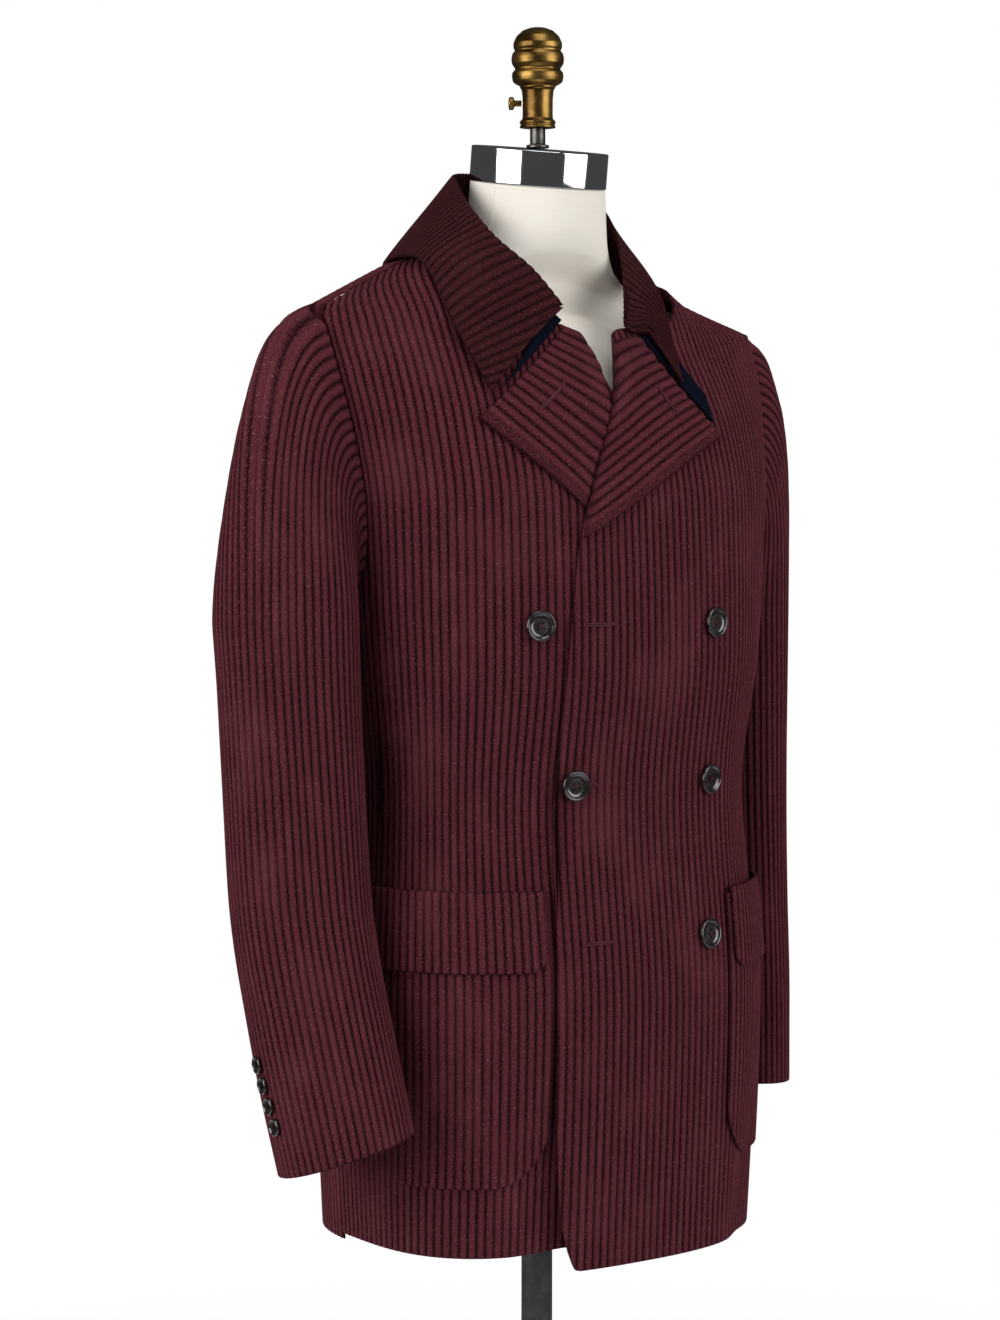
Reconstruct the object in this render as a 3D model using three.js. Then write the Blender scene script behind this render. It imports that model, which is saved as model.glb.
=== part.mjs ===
// A double-breasted corduroy overcoat on a limbless dress form with a round-based stand.
// Millimetres, +Z up. The front faces -Y and the wearer's left is +X.
// The origin is the middle of the underside of the stand's base.
import * as THREE from "three";

// Driving sizes of the cloth
const clothThickness = 2.2;
const waleDepth = 1.1;
const walePitch = 7;
const columnsPerWale = 2;
const innerEvery = 8;
const seamGap = 0.4;
const layerStep = clothThickness + waleDepth + 0.8;

// Driving heights of the coat above the floor
const hemHeight = 390;
const rightHemRise = 17;
const armpitHeight = 925;
const armholeWidest = 985;
const shoulderHeight = 1157;
const neckHeight = 1212;

// Arcs along the chest, from the centre front or the centre back
const overlapArc = 78;
const armholeFrontArc = 238;
const sideSeamPastSide = 28;
const armholeHalfWidth = 43;
const ringSquareness = 2.5;
const ridgeSetBack = 14;
const leftShoulderDrop = 24;

// One row for each ring round the body, at the inside of the cloth
const bodyRings = [
  { z: 380, half: 174, front: 136, back: 146 },
  { z: 600, half: 184.5, front: 144.5, back: 145 },
  { z: 765, half: 173, front: 131, back: 129 },
  { z: 880, half: 187, front: 142, back: 148 },
  { z: 1000, half: 198, front: 137, back: 150 },
  { z: 1060, half: 206, front: 122, back: 142 },
  { z: 1110, half: 216, front: 100, back: 122 },
  { z: 1150, half: 216, front: 78, back: 95 },
  { z: 1180, half: 153, front: 70, back: 83 },
  { z: 1212, half: 84, front: 66, back: 72 },
];

// The front edge and roll line of the left front, from the hem up, by arc from the centre front
const leftEdge = [
  { arc: -84, low: 540, high: 610 },
  { arc: -80, low: 455, high: 730 },
  { arc: -74, low: 420, high: 880 },
  { arc: -62, low: 391, high: 974 },
  { arc: -50, low: 389, high: 1011 },
  { arc: -29, low: 389, high: 1053 },
  { arc: -4, low: 389, high: 1095 },
  { arc: 31, low: 389, high: 1140 },
  { arc: 58, low: 389, high: 1152 },
  { arc: 84, low: 389, high: 1172 },
  { arc: 118, low: 389, high: 1207 },
];

// The same for the right front, which lies underneath
const rightEdge = [
  { arc: -overlapArc, low: 410, high: 780 },
  { arc: -60, low: 408, high: 900 },
  { arc: -34, low: 407, high: 974 },
  { arc: -12, low: 407, high: 1020 },
  { arc: 14, low: 407, high: 1094 },
  { arc: 38, low: 407, high: 1134 },
  { arc: 60, low: 407, high: 1146 },
  { arc: 84, low: 406, high: 1168 },
  { arc: 118, low: 405, high: 1207 },
];

// Soft folds of the skirt: arc from the centre, half width, depth and the height where each fades out
const skirtFolds = [
  { panel: "front", side: -1, arc: 72, width: 34, depth: -9, fade: 700 },
  { panel: "front", side: -1, arc: 175, width: 60, depth: 5, fade: 560 },
  { panel: "front", side: 1, arc: 205, width: 45, depth: 5, fade: 600 },
  { panel: "front", side: 1, arc: 130, width: 30, depth: -3, fade: 560 },
  { panel: "back", side: -1, arc: 110, width: 42, depth: 7, fade: 720 },
  { panel: "back", side: 1, arc: 122, width: 46, depth: 6, fade: 690 },
  { panel: "back", side: 1, arc: 45, width: 30, depth: -4, fade: 640 },
];

const smooth = (t) => {
  const x = Math.min(Math.max(t, 0), 1);
  return x * x * (3 - 2 * x);
};
const mix = (a, b, t) => a + (b - a) * t;

// Reads a column of a table at x by a monotone cubic, holding the end values
function readTable(rows, key, column, x) {
  const last = rows.length - 1;
  if (x <= rows[0][key]) return rows[0][column];
  if (x >= rows[last][key]) return rows[last][column];
  let i = 0;
  while (rows[i + 1][key] < x) i += 1;
  const slope = (k) => {
    if (k < 0 || k >= last) return null;
    return (rows[k + 1][column] - rows[k][column]) / (rows[k + 1][key] - rows[k][key]);
  };
  const tangent = (before, after) => {
    if (before === null) return after;
    if (after === null) return before;
    return before * after <= 0 ? 0 : (2 * before * after) / (before + after);
  };
  const width = rows[i + 1][key] - rows[i][key];
  const t = (x - rows[i][key]) / width;
  const m0 = tangent(slope(i - 1), slope(i)) * width;
  const m1 = tangent(slope(i), slope(i + 1)) * width;
  const y0 = rows[i][column];
  const y1 = rows[i + 1][column];
  return (
    y0 * (2 * t ** 3 - 3 * t ** 2 + 1) +
    m0 * (t ** 3 - 2 * t ** 2 + t) +
    y1 * (3 * t ** 2 - 2 * t ** 3) +
    m1 * (t ** 3 - t ** 2)
  );
}

// Reads a column of a table at x along straight lines
function readStraight(rows, key, column, x) {
  let i = 0;
  while (i < rows.length - 2 && rows[i + 1][key] < x) i += 1;
  const t = (x - rows[i][key]) / (rows[i + 1][key] - rows[i][key]);
  return mix(rows[i][column], rows[i + 1][column], t);
}

// Half of a body ring as a polyline from the centre front to the centre back, with its arc lengths
const ringSteps = 48;
const ringCache = new Map();
function halfRing(z) {
  const known = ringCache.get(z);
  if (known) return known;
  const half = readStraight(bodyRings, "z", "half", z);
  const front = readStraight(bodyRings, "z", "front", z);
  const back = readStraight(bodyRings, "z", "back", z);
  const power = 2 / ringSquareness;
  const points = [];
  for (let i = 0; i <= 2 * ringSteps; i += 1) {
    const angle = (Math.PI / 2) * (i / ringSteps);
    const depth = i <= ringSteps ? -front : back;
    const x = half * Math.abs(Math.sin(angle)) ** power;
    const y = depth * Math.abs(Math.cos(angle)) ** power;
    const setBack = ridgeSetBack * smooth((z - 1000) / 150) * (1 - (y / depth) ** 2);
    points.push([i === 0 || i === 2 * ringSteps ? 0 : x, (i === ringSteps ? 0 : y) + setBack]);
  }
  const arcs = [0];
  for (let i = 1; i < points.length; i += 1) {
    const step = Math.hypot(points[i][0] - points[i - 1][0], points[i][1] - points[i - 1][1]);
    arcs.push(arcs[i - 1] + step);
  }
  const made = { points, arcs, side: arcs[ringSteps], whole: arcs[2 * ringSteps] };
  ringCache.set(z, made);
  return made;
}

function ringPoint(z, arc) {
  const ring = halfRing(z);
  const sign = arc < 0 ? -1 : 1;
  const a = Math.min(Math.abs(arc), ring.whole);
  let i = 1;
  while (i < ring.arcs.length - 1 && ring.arcs[i] < a) i += 1;
  const t = (a - ring.arcs[i - 1]) / (ring.arcs[i] - ring.arcs[i - 1]);
  const [x0, y0] = ring.points[i - 1];
  const [x1, y1] = ring.points[i];
  return [sign * mix(x0, x1, t), mix(y0, y1, t)];
}

// Below the armpit the wales draw together at the waist and spread at the hem, with the ring
const plainFrontArc = 100;
const plainBackArc = 60;
const sideSeamArc = halfRing(armpitHeight).side + sideSeamPastSide;
const backSeamArc = halfRing(armpitHeight).whole - sideSeamArc;
function drawnIn(arc, z, plain, reference, here) {
  if (z >= armpitHeight || arc <= plain) return arc;
  return plain + ((arc - plain) * (here - plain)) / (reference - plain);
}
function waleArc(panel, arc, z) {
  const ring = halfRing(z);
  const seam = ring.side + sideSeamPastSide;
  if (panel === "front") return drawnIn(arc, z, plainFrontArc, sideSeamArc, seam);
  return ring.whole - drawnIn(arc, z, plainBackArc, backSeamArc, ring.whole - seam);
}

function foldDepth(panel, side, arc, z) {
  let depth = 0;
  for (const fold of skirtFolds) {
    if (fold.panel !== panel || fold.side !== side) continue;
    const across = (arc - fold.arc) / fold.width;
    const down = smooth((fold.fade - z) / (fold.fade - hemHeight));
    depth += fold.depth * down * Math.exp(-across * across);
  }
  return depth;
}

// The wearer's left shoulder hangs lower than the right one
function settled(p) {
  const near = smooth(p.x / 100);
  const far = smooth((p.x - 110) / 120);
  const drop = leftShoulderDrop * near - 13 * far;
  p.z -= drop * smooth((p.z - 1020) / 150);
  return p;
}

// A point of the coat's body. side is 1 for the wearer's left and -1 for the right
function bodyPoint(panel, side, arc, z) {
  const [x, y] = ringPoint(z, waleArc(panel, arc, z));
  const across = panel === "back" && arc < 0 ? -x : x;
  return new THREE.Vector3(side * across, y, z);
}
function bodyNormal(panel, side, arc, z) {
  const alongArc = bodyPoint(panel, side, arc + 3, z).sub(bodyPoint(panel, side, arc - 3, z));
  const up = bodyPoint(panel, side, arc, z + 14).sub(bodyPoint(panel, side, arc, z - 14));
  const normal = alongArc.cross(up).normalize();
  const flip = panel === "front" ? side : -side;
  return normal.multiplyScalar(flip);
}
function onBody(panel, side, arc, z, lift) {
  const out = lift + foldDepth(panel, side, arc, z);
  return bodyPoint(panel, side, arc, z).addScaledVector(bodyNormal(panel, side, arc, z), out);
}

// The left front lies over the right one, and comes down to the body past the overlap
function overLift(side, arc) {
  return side > 0 ? layerStep * (1 - smooth((arc - 95) / 50)) : 0;
}

// Heights of the rows of points up the body, between its lower and upper ends
const bodyLevels = bodyRings.slice(1, -1).map((ring) => ring.z);
const leastRow = 1.2;
function rowHeight(levels, low, high, row) {
  const last = levels.length + 1;
  if (row === 0) return low;
  if (row === last) return high;
  const least = Math.min(leastRow, (high - low) / (2 * last));
  return Math.min(Math.max(levels[row - 1], low + row * least), high - (last - row) * least);
}

// A closed cloth wall. at(u, v, lift) places a point; columns run along the wales
function clothWall(wall) {
  const { columns, rows, at, lift = 0, thickness = clothThickness, ribs = waleDepth } = wall;
  const every = wall.every ?? innerEvery;
  const fineTo = wall.fineTo ?? 0;
  const positions = [];
  const triangles = [];
  const push = (p) => {
    const { x, y, z } = settled(p);
    return positions.push(x, y, z) / 3 - 1;
  };
  const last = columns.length - 1;
  const outer = columns.map((u, i) =>
    rows.map((v) => push(at(u, v, lift + thickness + (i % 2 === 1 && i !== last ? ribs : 0)))),
  );
  const tops = outer.map((column) => 3 * column[column.length - 1] + 2);
  const steps = (i, j) => Math.abs(positions[tops[i]] - positions[tops[j]]) > 25;
  const isKept = (i) => {
    if (i % every === 0 || i === last || i < Math.min(fineTo, 10)) return true;
    if (i < fineTo && i % 2 === 0) return true;
    return steps(i, i - 1) || steps(i, i + 1);
  };
  const kept = columns.map((_, i) => i).filter(isKept);
  const inner = kept.map((i) => rows.map((v) => push(at(columns[i], v, lift))));
  const quad = (a, b, c, d) => triangles.push(a, b, c, a, c, d);
  for (let i = 0; i < last; i += 1) {
    for (let j = 0; j < rows.length - 1; j += 1) {
      quad(outer[i][j], outer[i + 1][j], outer[i + 1][j + 1], outer[i][j + 1]);
    }
  }
  for (let k = 0; k < kept.length - 1; k += 1) {
    for (let j = 0; j < rows.length - 1; j += 1) {
      quad(inner[k][j], inner[k][j + 1], inner[k + 1][j + 1], inner[k + 1][j]);
    }
  }
  const rim = (j, turned) => {
    const add = (a, b, c) => triangles.push(...(turned ? [a, c, b] : [a, b, c]));
    for (let k = 0; k < kept.length - 1; k += 1) {
      const half = Math.ceil((kept[k] + kept[k + 1]) / 2);
      for (let i = kept[k]; i < kept[k + 1]; i += 1) {
        add(inner[k + (i < half ? 0 : 1)][j], outer[i + 1][j], outer[i][j]);
      }
      add(inner[k][j], inner[k + 1][j], outer[half][j]);
    }
  };
  rim(0, false);
  rim(rows.length - 1, true);
  for (let j = 0; j < rows.length - 1; j += 1) {
    quad(inner[0][j], outer[0][j], outer[0][j + 1], inner[0][j + 1]);
    const end = inner.length - 1;
    quad(inner[end][j], inner[end][j + 1], outer[last][j + 1], outer[last][j]);
  }
  const geometry = new THREE.BufferGeometry();
  geometry.setAttribute("position", new THREE.Float32BufferAttribute(positions, 3));
  geometry.setIndex(triangles);
  return geometry;
}

// Turns every face of a geometry round
function turnedOver(geometry) {
  const index = geometry.getIndex().array;
  for (let i = 0; i < index.length; i += 3) [index[i + 1], index[i + 2]] = [index[i + 2], index[i + 1]];
  return geometry;
}

function waleColumns(from, to, step = walePitch / columnsPerWale) {
  const count = 2 * Math.max(1, Math.round((to - from) / step / 2));
  return Array.from({ length: count + 1 }, (_, i) => mix(from, to, i / count));
}
const evenRows = (count) => Array.from({ length: count + 1 }, (_, j) => j / count);
const countTo = (count) => Array.from({ length: count + 1 }, (_, j) => j);

// A panel of the body between two arcs, with its lower and upper ends given along the arc
function bodyPanel({ panel, side, from, to, low, high, lift, levels = bodyLevels, ...wall }) {
  const made = clothWall({
    columns: waleColumns(from, to),
    rows: countTo(levels.length + 1),
    ...wall,
    at: (arc, row, out) => {
      const z = rowHeight(levels, low(arc), high(arc), row);
      return onBody(panel, side, arc, z, out + lift(arc));
    },
  });
  return side * (panel === "front" ? 1 : -1) > 0 ? made : turnedOver(made);
}

// The height of the shoulder seam where the ridge of the ring is at this arc
function shoulderSeam(panel, arc) {
  let low = shoulderHeight - 16;
  let high = neckHeight;
  for (let i = 0; i < 30; i += 1) {
    const z = (low + high) / 2;
    const ring = halfRing(z);
    const reach = panel === "front" ? ring.side : ring.whole - ring.side;
    if (reach > arc) low = z;
    else high = z;
  }
  return low;
}

// The armhole: straight sides that follow the fronts and backs, over a round lower end
const chestRing = halfRing(armholeWidest);
const armholeMiddle = armholeFrontArc - chestRing.side + armholeHalfWidth;
const armholeBackArc = chestRing.whole - chestRing.side - armholeMiddle - armholeHalfWidth;
function armholeLow(fromSide) {
  const across = Math.min(Math.abs((fromSide - armholeMiddle) / armholeHalfWidth), 1);
  return mix(armholeWidest, armpitHeight, Math.sqrt(1 - across * across));
}

function frontTop(edge) {
  return (arc) => {
    if (arc > armholeFrontArc) return armholeLow(arc - chestRing.side);
    if (arc > edge[edge.length - 1].arc) return shoulderSeam("front", arc + seamGap);
    return readTable(edge, "arc", "high", arc);
  };
}
const neckBackArc = halfRing(neckHeight).whole - halfRing(neckHeight).side;
function backTop(arc) {
  if (arc > armholeBackArc) return armholeLow(chestRing.whole - arc - chestRing.side);
  if (arc < neckBackArc) return neckHeight;
  return shoulderSeam("back", arc + seamGap);
}
// The hem rises a little from the centre back to the right front edge
function hemAt(panel, side, arc) {
  if (side > 0) return hemHeight;
  const part = panel === "front" ? mix(1, 0.6, smooth(arc / sideSeamArc)) : 0.6 * smooth(arc / 240);
  return hemHeight + rightHemRise * part;
}

const paint = (color, roughness, metalness) =>
  new THREE.MeshStandardMaterial({ color, roughness, metalness });
const corduroy = () => paint(0x4a1822, 0.9, 0);
const felt = () => paint(0x10131f, 0.95, 0);
const horn = () => paint(0x1c1816, 0.25, 0);
const canvas = () => paint(0xe9e1d3, 0.85, 0);
const chrome = () => paint(0xd8dadc, 0.08, 1);
const brass = () => paint(0x9a7a3c, 0.35, 1);
const iron = () => paint(0x3a3b3d, 0.5, 0.8);

const coat = new THREE.Group();
const form = new THREE.Group();
function addPiece(group, name, geometry, material) {
  const mesh = new THREE.Mesh(geometry, material);
  mesh.name = name;
  group.add(mesh);
  return mesh;
}

// Fronts and backs
for (const side of [-1, 1]) {
  const name = side < 0 ? "right" : "left";
  const edge = side < 0 ? rightEdge : leftEdge;
  const front = bodyPanel({
    panel: "front",
    side,
    from: edge[0].arc,
    to: sideSeamArc - seamGap,
    low: (arc) => Math.max(readTable(edge, "arc", "low", arc), hemAt("front", side, arc)),
    high: frontTop(edge),
    lift: (arc) => overLift(side, arc),
    fineTo: 36,
  });
  addPiece(coat, `front_${name}`, front, corduroy());
  const back = bodyPanel({
    panel: "back",
    side,
    from: seamGap / 2,
    to: backSeamArc - seamGap / 2,
    low: (arc) => hemAt("back", side, arc),
    high: backTop,
    lift: () => 0,
  });
  addPiece(coat, `back_${name}`, back, corduroy());
}

// Patch pockets and their flaps, laid on the fronts
const pocketRows = [
  { side: -1, from: 88, to: 254, low: 462, high: 692, flapLow: 633, flapHigh: 697 },
  { side: 1, from: 88, to: 254, low: 460, high: 681, flapLow: 620, flapHigh: 686 },
];
const roundedEnd = (arc, from, to, low, radius) => {
  const inset = Math.max(radius - Math.min(arc - from, to - arc), 0);
  return low + radius - Math.sqrt(Math.max(radius ** 2 - inset ** 2, 0));
};
for (const { side, from, to, low, high, flapLow, flapHigh } of pocketRows) {
  const name = side < 0 ? "right" : "left";
  const pocket = bodyPanel({
    panel: "front",
    side,
    from,
    to,
    low: (arc) => roundedEnd(arc, from, to, low, 50),
    high: () => high,
    lift: (arc) => layerStep + 0.3 + overLift(side, arc),
    levels: [600],
    thickness: 1.8,
    ribs: 0.9,
    every: 4,
  });
  addPiece(coat, `pocket_${name}`, pocket, corduroy());
  const flap = bodyPanel({
    panel: "front",
    side,
    from: from + 3,
    to: to + 3,
    low: (arc) => roundedEnd(arc, from + 3, to + 3, flapLow, 16),
    high: () => flapHigh,
    lift: (arc) => layerStep + 3.8 + overLift(side, arc),
    levels: [],
    thickness: 1.8,
    ribs: 0.9,
    every: 4,
  });
  addPiece(coat, `flap_${name}`, flap, corduroy());
}

// Sections of the hanging sleeves, at the outside of the cloth. The right one is turned inward
const sleeveSections = [
  {
    z: 470, rightX: 228, rightY: -62, leftX: 229, leftY: 27,
    rightWide: 34.5, rightDeep: 67, leftWide: 33, leftDeep: 76,
  },
  {
    z: 537, rightX: 231, rightY: -41, leftX: 232, leftY: 31,
    rightWide: 35.5, rightDeep: 68.5, leftWide: 34, leftDeep: 76,
  },
  {
    z: 590, rightX: 233, rightY: -25, leftX: 233.5, leftY: 33,
    rightWide: 36.5, rightDeep: 67.8, leftWide: 35, leftDeep: 75.3,
  },
  {
    z: 651, rightX: 236, rightY: -10, leftX: 234, leftY: 36,
    rightWide: 37.5, rightDeep: 66.9, leftWide: 35.6, leftDeep: 75,
  },
  {
    z: 690, rightX: 237, rightY: -3, leftX: 234, leftY: 37.5,
    rightWide: 38, rightDeep: 66, leftWide: 36.3, leftDeep: 75,
  },
  {
    z: 768, rightX: 239, rightY: 2, leftX: 235, leftY: 40,
    rightWide: 39, rightDeep: 65, leftWide: 38, leftDeep: 74,
  },
  {
    z: 847, rightX: 241, rightY: 5.5, leftX: 236, leftY: 41,
    rightWide: 41, rightDeep: 64.6, leftWide: 39.8, leftDeep: 73,
  },
  {
    z: 905, rightX: 243, rightY: 7, leftX: 237, leftY: 42,
    rightWide: 42, rightDeep: 66, leftWide: 41.5, leftDeep: 72,
  },
];
const cuffs = {
  right: { z: 491, slope: 20, rise: 7 },
  left: { z: 489, slope: 5, rise: 0 },
};
const sleeveTurns = { right: (20 * Math.PI) / 180, left: 0 };
const sleeveLift = layerStep + 0.4;
const bicepHeight = 905;
const sleeveLevels = [bicepHeight, 700];
const headRows = 3;

// The seam line round the armhole. turn is 0 at the armpit, 90 degrees in front and 180 at the top
function armholePoint(side, turn) {
  const round = (turn + 2 * Math.PI) % (2 * Math.PI);
  const inFront = round <= Math.PI;
  const part = (inFront ? round : 2 * Math.PI - round) / Math.PI;
  const roundPart = 0.3;
  const lap = 1.4;
  const panel = inFront ? "front" : "back";
  if (part < roundPart) {
    const angle = (part / roundPart) * (Math.PI / 2);
    const z = armholeWidest - (armholeWidest - armpitHeight + lap) * Math.cos(angle);
    const across = (armholeHalfWidth + lap) * Math.sin(angle);
    const fromSide = armholeMiddle + (inFront ? -across : across);
    const arc = chestRing.side + fromSide;
    return onBody("front", side, arc, z, sleeveLift);
  }
  const z = mix(armholeWidest, shoulderHeight - 2, (part - roundPart) / (1 - roundPart));
  const ring = halfRing(z);
  const ridge = inFront ? ring.side : ring.whole - ring.side;
  const seam = (inFront ? armholeFrontArc : armholeBackArc) - lap;
  return onBody(panel, side, mix(seam, ridge, smooth((z - 1138) / 17)), z, sleeveLift);
}

function sleevePoint(side, turn, row) {
  const name = side < 0 ? "right" : "left";
  const section = (z) => {
    const at = (column) => readTable(sleeveSections, "z", column, z);
    const wall = clothThickness + waleDepth;
    const across = -(at(`${name}Wide`) - wall) * Math.cos(turn);
    const along = -(at(`${name}Deep`) - wall) * Math.sin(turn);
    const c = Math.cos(sleeveTurns[name]);
    const s = Math.sin(sleeveTurns[name]);
    const x = at(`${name}X`) + across * c + along * s;
    const y = at(`${name}Y`) + along * c - across * s;
    return new THREE.Vector3(side * x, y, z);
  };
  const { z: middle, slope, rise } = cuffs[name];
  const cuff = middle + slope * Math.sin(turn) + rise * Math.cos(turn);
  if (row >= headRows) {
    const heights = [...sleeveLevels, cuff];
    const below = Math.min(Math.floor(row - headRows), heights.length - 2);
    return section(mix(heights[below], heights[below + 1], row - headRows - below));
  }
  const t = row / headRows;
  const start = armholePoint(side, turn);
  const end = section(bicepHeight);
  const high = (1 - Math.cos(turn)) / 2;
  const outward = new THREE.Vector3(side * mix(22, 150, high), 0, mix(0, -30, high));
  const down = new THREE.Vector3(0, 0, -mix(26, 300, high));
  const p = new THREE.Vector3();
  p.addScaledVector(start, 2 * t ** 3 - 3 * t ** 2 + 1);
  p.addScaledVector(outward, t ** 3 - 2 * t ** 2 + t);
  p.addScaledVector(end, 3 * t ** 2 - 2 * t ** 3);
  p.addScaledVector(down, t ** 3 - t ** 2);
  return p;
}

function sleeveNormal(side, turn, row) {
  const d = 0.02;
  const lastRow = headRows + sleeveLevels.length;
  const around = sleevePoint(side, turn + d, row).sub(sleevePoint(side, turn - d, row));
  const low = Math.min(row + d, lastRow);
  const high = Math.max(row - d, 0);
  const down = sleevePoint(side, turn, low).sub(sleevePoint(side, turn, high));
  return around.cross(down).normalize().multiplyScalar(-side);
}

// Each sleeve has an upper and an under piece, parted at the forearm and hindarm seams
const forearmSeam = (40 * Math.PI) / 180;
const hindarmSeam = (235 * Math.PI) / 180;
const sleeveGirth = 365;
const sleevePieces = [
  { name: "upper", from: forearmSeam, to: hindarmSeam },
  { name: "under", from: hindarmSeam - 2 * Math.PI, to: forearmSeam },
];
for (const side of [-1, 1]) {
  for (const { name, from, to } of sleevePieces) {
    const parted = seamGap / (sleeveGirth / 3);
    const sleeve = clothWall({
      columns: waleColumns(from + parted / 2, to - parted / 2, Math.PI / sleeveGirth * walePitch),
      rows: countTo(headRows + sleeveLevels.length),
      at: (turn, row, out) =>
        sleevePoint(side, turn, row).addScaledVector(sleeveNormal(side, turn, row), out),
    });
    const place = side < 0 ? "right" : "left";
    addPiece(coat, `sleeve_${place}_${name}`, side < 0 ? sleeve : turnedOver(sleeve), corduroy());
  }
}

// Lapels: each turns back at the roll line and lies on its front. Wales run along the lower edge
const lapelRows = [
  {
    side: -1,
    notch: { arc: 42, z: 1131 },
    tip: { arc: 136, z: 1068 },
    roll: [
      { z: 1000, arc: 58 },
      { z: 1030, arc: 45 },
      { z: 1060, arc: 27 },
      { z: 1084, arc: 13.5 },
      { z: 1104, arc: 22 },
      { z: 1131, arc: 38 },
    ],
  },
  {
    side: 1,
    notch: { arc: 35, z: 1136 },
    tip: { arc: 93, z: 1056 },
    roll: [
      { z: 976, arc: -58 },
      { z: 1011, arc: -48 },
      { z: 1053, arc: -27 },
      { z: 1095, arc: -2 },
      { z: 1136, arc: 31 },
    ],
  },
];
for (const { side, notch, tip, roll } of lapelRows) {
  const under = (arc) => layerStep + 0.4 + overLift(side, arc);
  const place = (u, v, out) => {
    const t = Math.min(u, 0.94);
    const z0 = mix(tip.z, notch.z, t);
    const arc0 = mix(tip.arc, notch.arc, t);
    const z1 = mix(roll[0].z, roll[roll.length - 1].z, t ** 1.15);
    const arc1 = readTable(roll, "z", "arc", z1);
    const arc = mix(arc0, arc1, v);
    return onBody("front", side, arc, mix(z0, z1, v), out + under(arc));
  };
  const lapel = clothWall({
    columns: waleColumns(0, 0.94, walePitch / columnsPerWale / 105),
    rows: evenRows(5),
    every: 3,
    thickness: 1.8,
    ribs: 0.9,
    at: place,
  });
  addPiece(coat, `lapel_${side < 0 ? "right" : "left"}`, side > 0 ? lapel : turnedOver(lapel), corduroy());
}

// The collar, by sections from its right end round the back to its left end: where its stand
// meets the neck, its fold and its outer edge
const collarSections = [
  { standX: -58, standY: -70, standZ: 1158, foldX: -39, foldY: -84, foldZ: 1163, edgeX: -122, edgeY: -106, edgeZ: 1090 },
  { standX: -68, standY: -60, standZ: 1184, foldX: -56, foldY: -74, foldZ: 1187, edgeX: -139, edgeY: -80, edgeZ: 1141 },
  { standX: -82, standY: -32, standZ: 1205, foldX: -74, foldY: -48, foldZ: 1213, edgeX: -136, edgeY: -26, edgeZ: 1196 },
  { standX: -83, standY: 0, standZ: 1209, foldX: -77, foldY: -12, foldZ: 1245, edgeX: -132, edgeY: 22, edgeZ: 1199 },
  { standX: -76, standY: 28, standZ: 1209, foldX: -66, foldY: 18, foldZ: 1265, edgeX: -110, edgeY: 66, edgeZ: 1192 },
  { standX: -44, standY: 61, standZ: 1209, foldX: -42, foldY: 52, foldZ: 1274, edgeX: -66, edgeY: 94, edgeZ: 1186 },
  { standX: 0, standY: 68, standZ: 1209, foldX: 0, foldY: 62, foldZ: 1277, edgeX: 0, edgeY: 100, edgeZ: 1184 },
  { standX: 44, standY: 61, standZ: 1209, foldX: 42, foldY: 52, foldZ: 1286, edgeX: 64, edgeY: 94, edgeZ: 1192 },
  { standX: 76, standY: 28, standZ: 1209, foldX: 70, foldY: 18, foldZ: 1276, edgeX: 96, edgeY: 60, edgeZ: 1206 },
  { standX: 83, standY: 0, standZ: 1209, foldX: 81, foldY: -6, foldZ: 1245, edgeX: 104, edgeY: 2, edgeZ: 1215 },
  { standX: 82, standY: -32, standZ: 1203, foldX: 74, foldY: -44, foldZ: 1213, edgeX: 91, edgeY: -66, edgeZ: 1190 },
  { standX: 72, standY: -58, standZ: 1184, foldX: 62, foldY: -78, foldZ: 1191, edgeX: 79, edgeY: -96, edgeZ: 1142 },
  { standX: 66, standY: -68, standZ: 1164, foldX: 57, foldY: -86, foldZ: 1172, edgeX: 72, edgeY: -115, edgeZ: 1108 },
];
function collarLine(place, bulge = 0) {
  const points = collarSections.map((row) => {
    const at = (axis) => row[`${place}${axis}`];
    return new THREE.Vector3(at("X"), at("Y"), at("Z"));
  });
  return new THREE.CatmullRomCurve3(points, false, "centripetal");
}
const standLine = collarLine("stand");
const foldLine = collarLine("fold");
const edgeLine = collarLine("edge");
const collarLength = 590;
const collarFold = 0.28;
function collarPoint(t, v) {
  const fold = foldLine.getPoint(t);
  if (v <= collarFold) {
    const stand = standLine.getPoint(t);
    return stand.lerp(fold, v / collarFold);
  }
  const down = (v - collarFold) / (1 - collarFold);
  const edge = edgeLine.getPoint(t);
  const outward = edge.clone().sub(fold).setZ(0).normalize();
  const bulge = 4 * down * (1 - down);
  const p = fold.lerp(edge, down);
  return p.addScaledVector(outward, 3 * bulge).add(new THREE.Vector3(0, 0, 3 * bulge));
}
function collarNormal(t, v) {
  const d = 0.004;
  const t0 = Math.max(t - d, 0);
  const t1 = Math.min(t + d, 1);
  const e = 0.1;
  const along = collarPoint(t1, v).sub(collarPoint(t0, v));
  const down = collarPoint(t, Math.min(v + e, 1)).sub(collarPoint(t, Math.max(v - e, 0)));
  return along.cross(down).normalize();
}
const collarSink = 2.4;
const collar = clothWall({
  columns: waleColumns(0, 1, walePitch / columnsPerWale / collarLength),
  rows: [0, collarFold, 0.62, 1],
  every: 6,
  thickness: 1.8,
  ribs: 0.9,
  at: (t, v, out) => collarPoint(t, v).addScaledVector(collarNormal(t, v), out - collarSink),
});
addPiece(coat, "collar", collar, corduroy());

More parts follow.
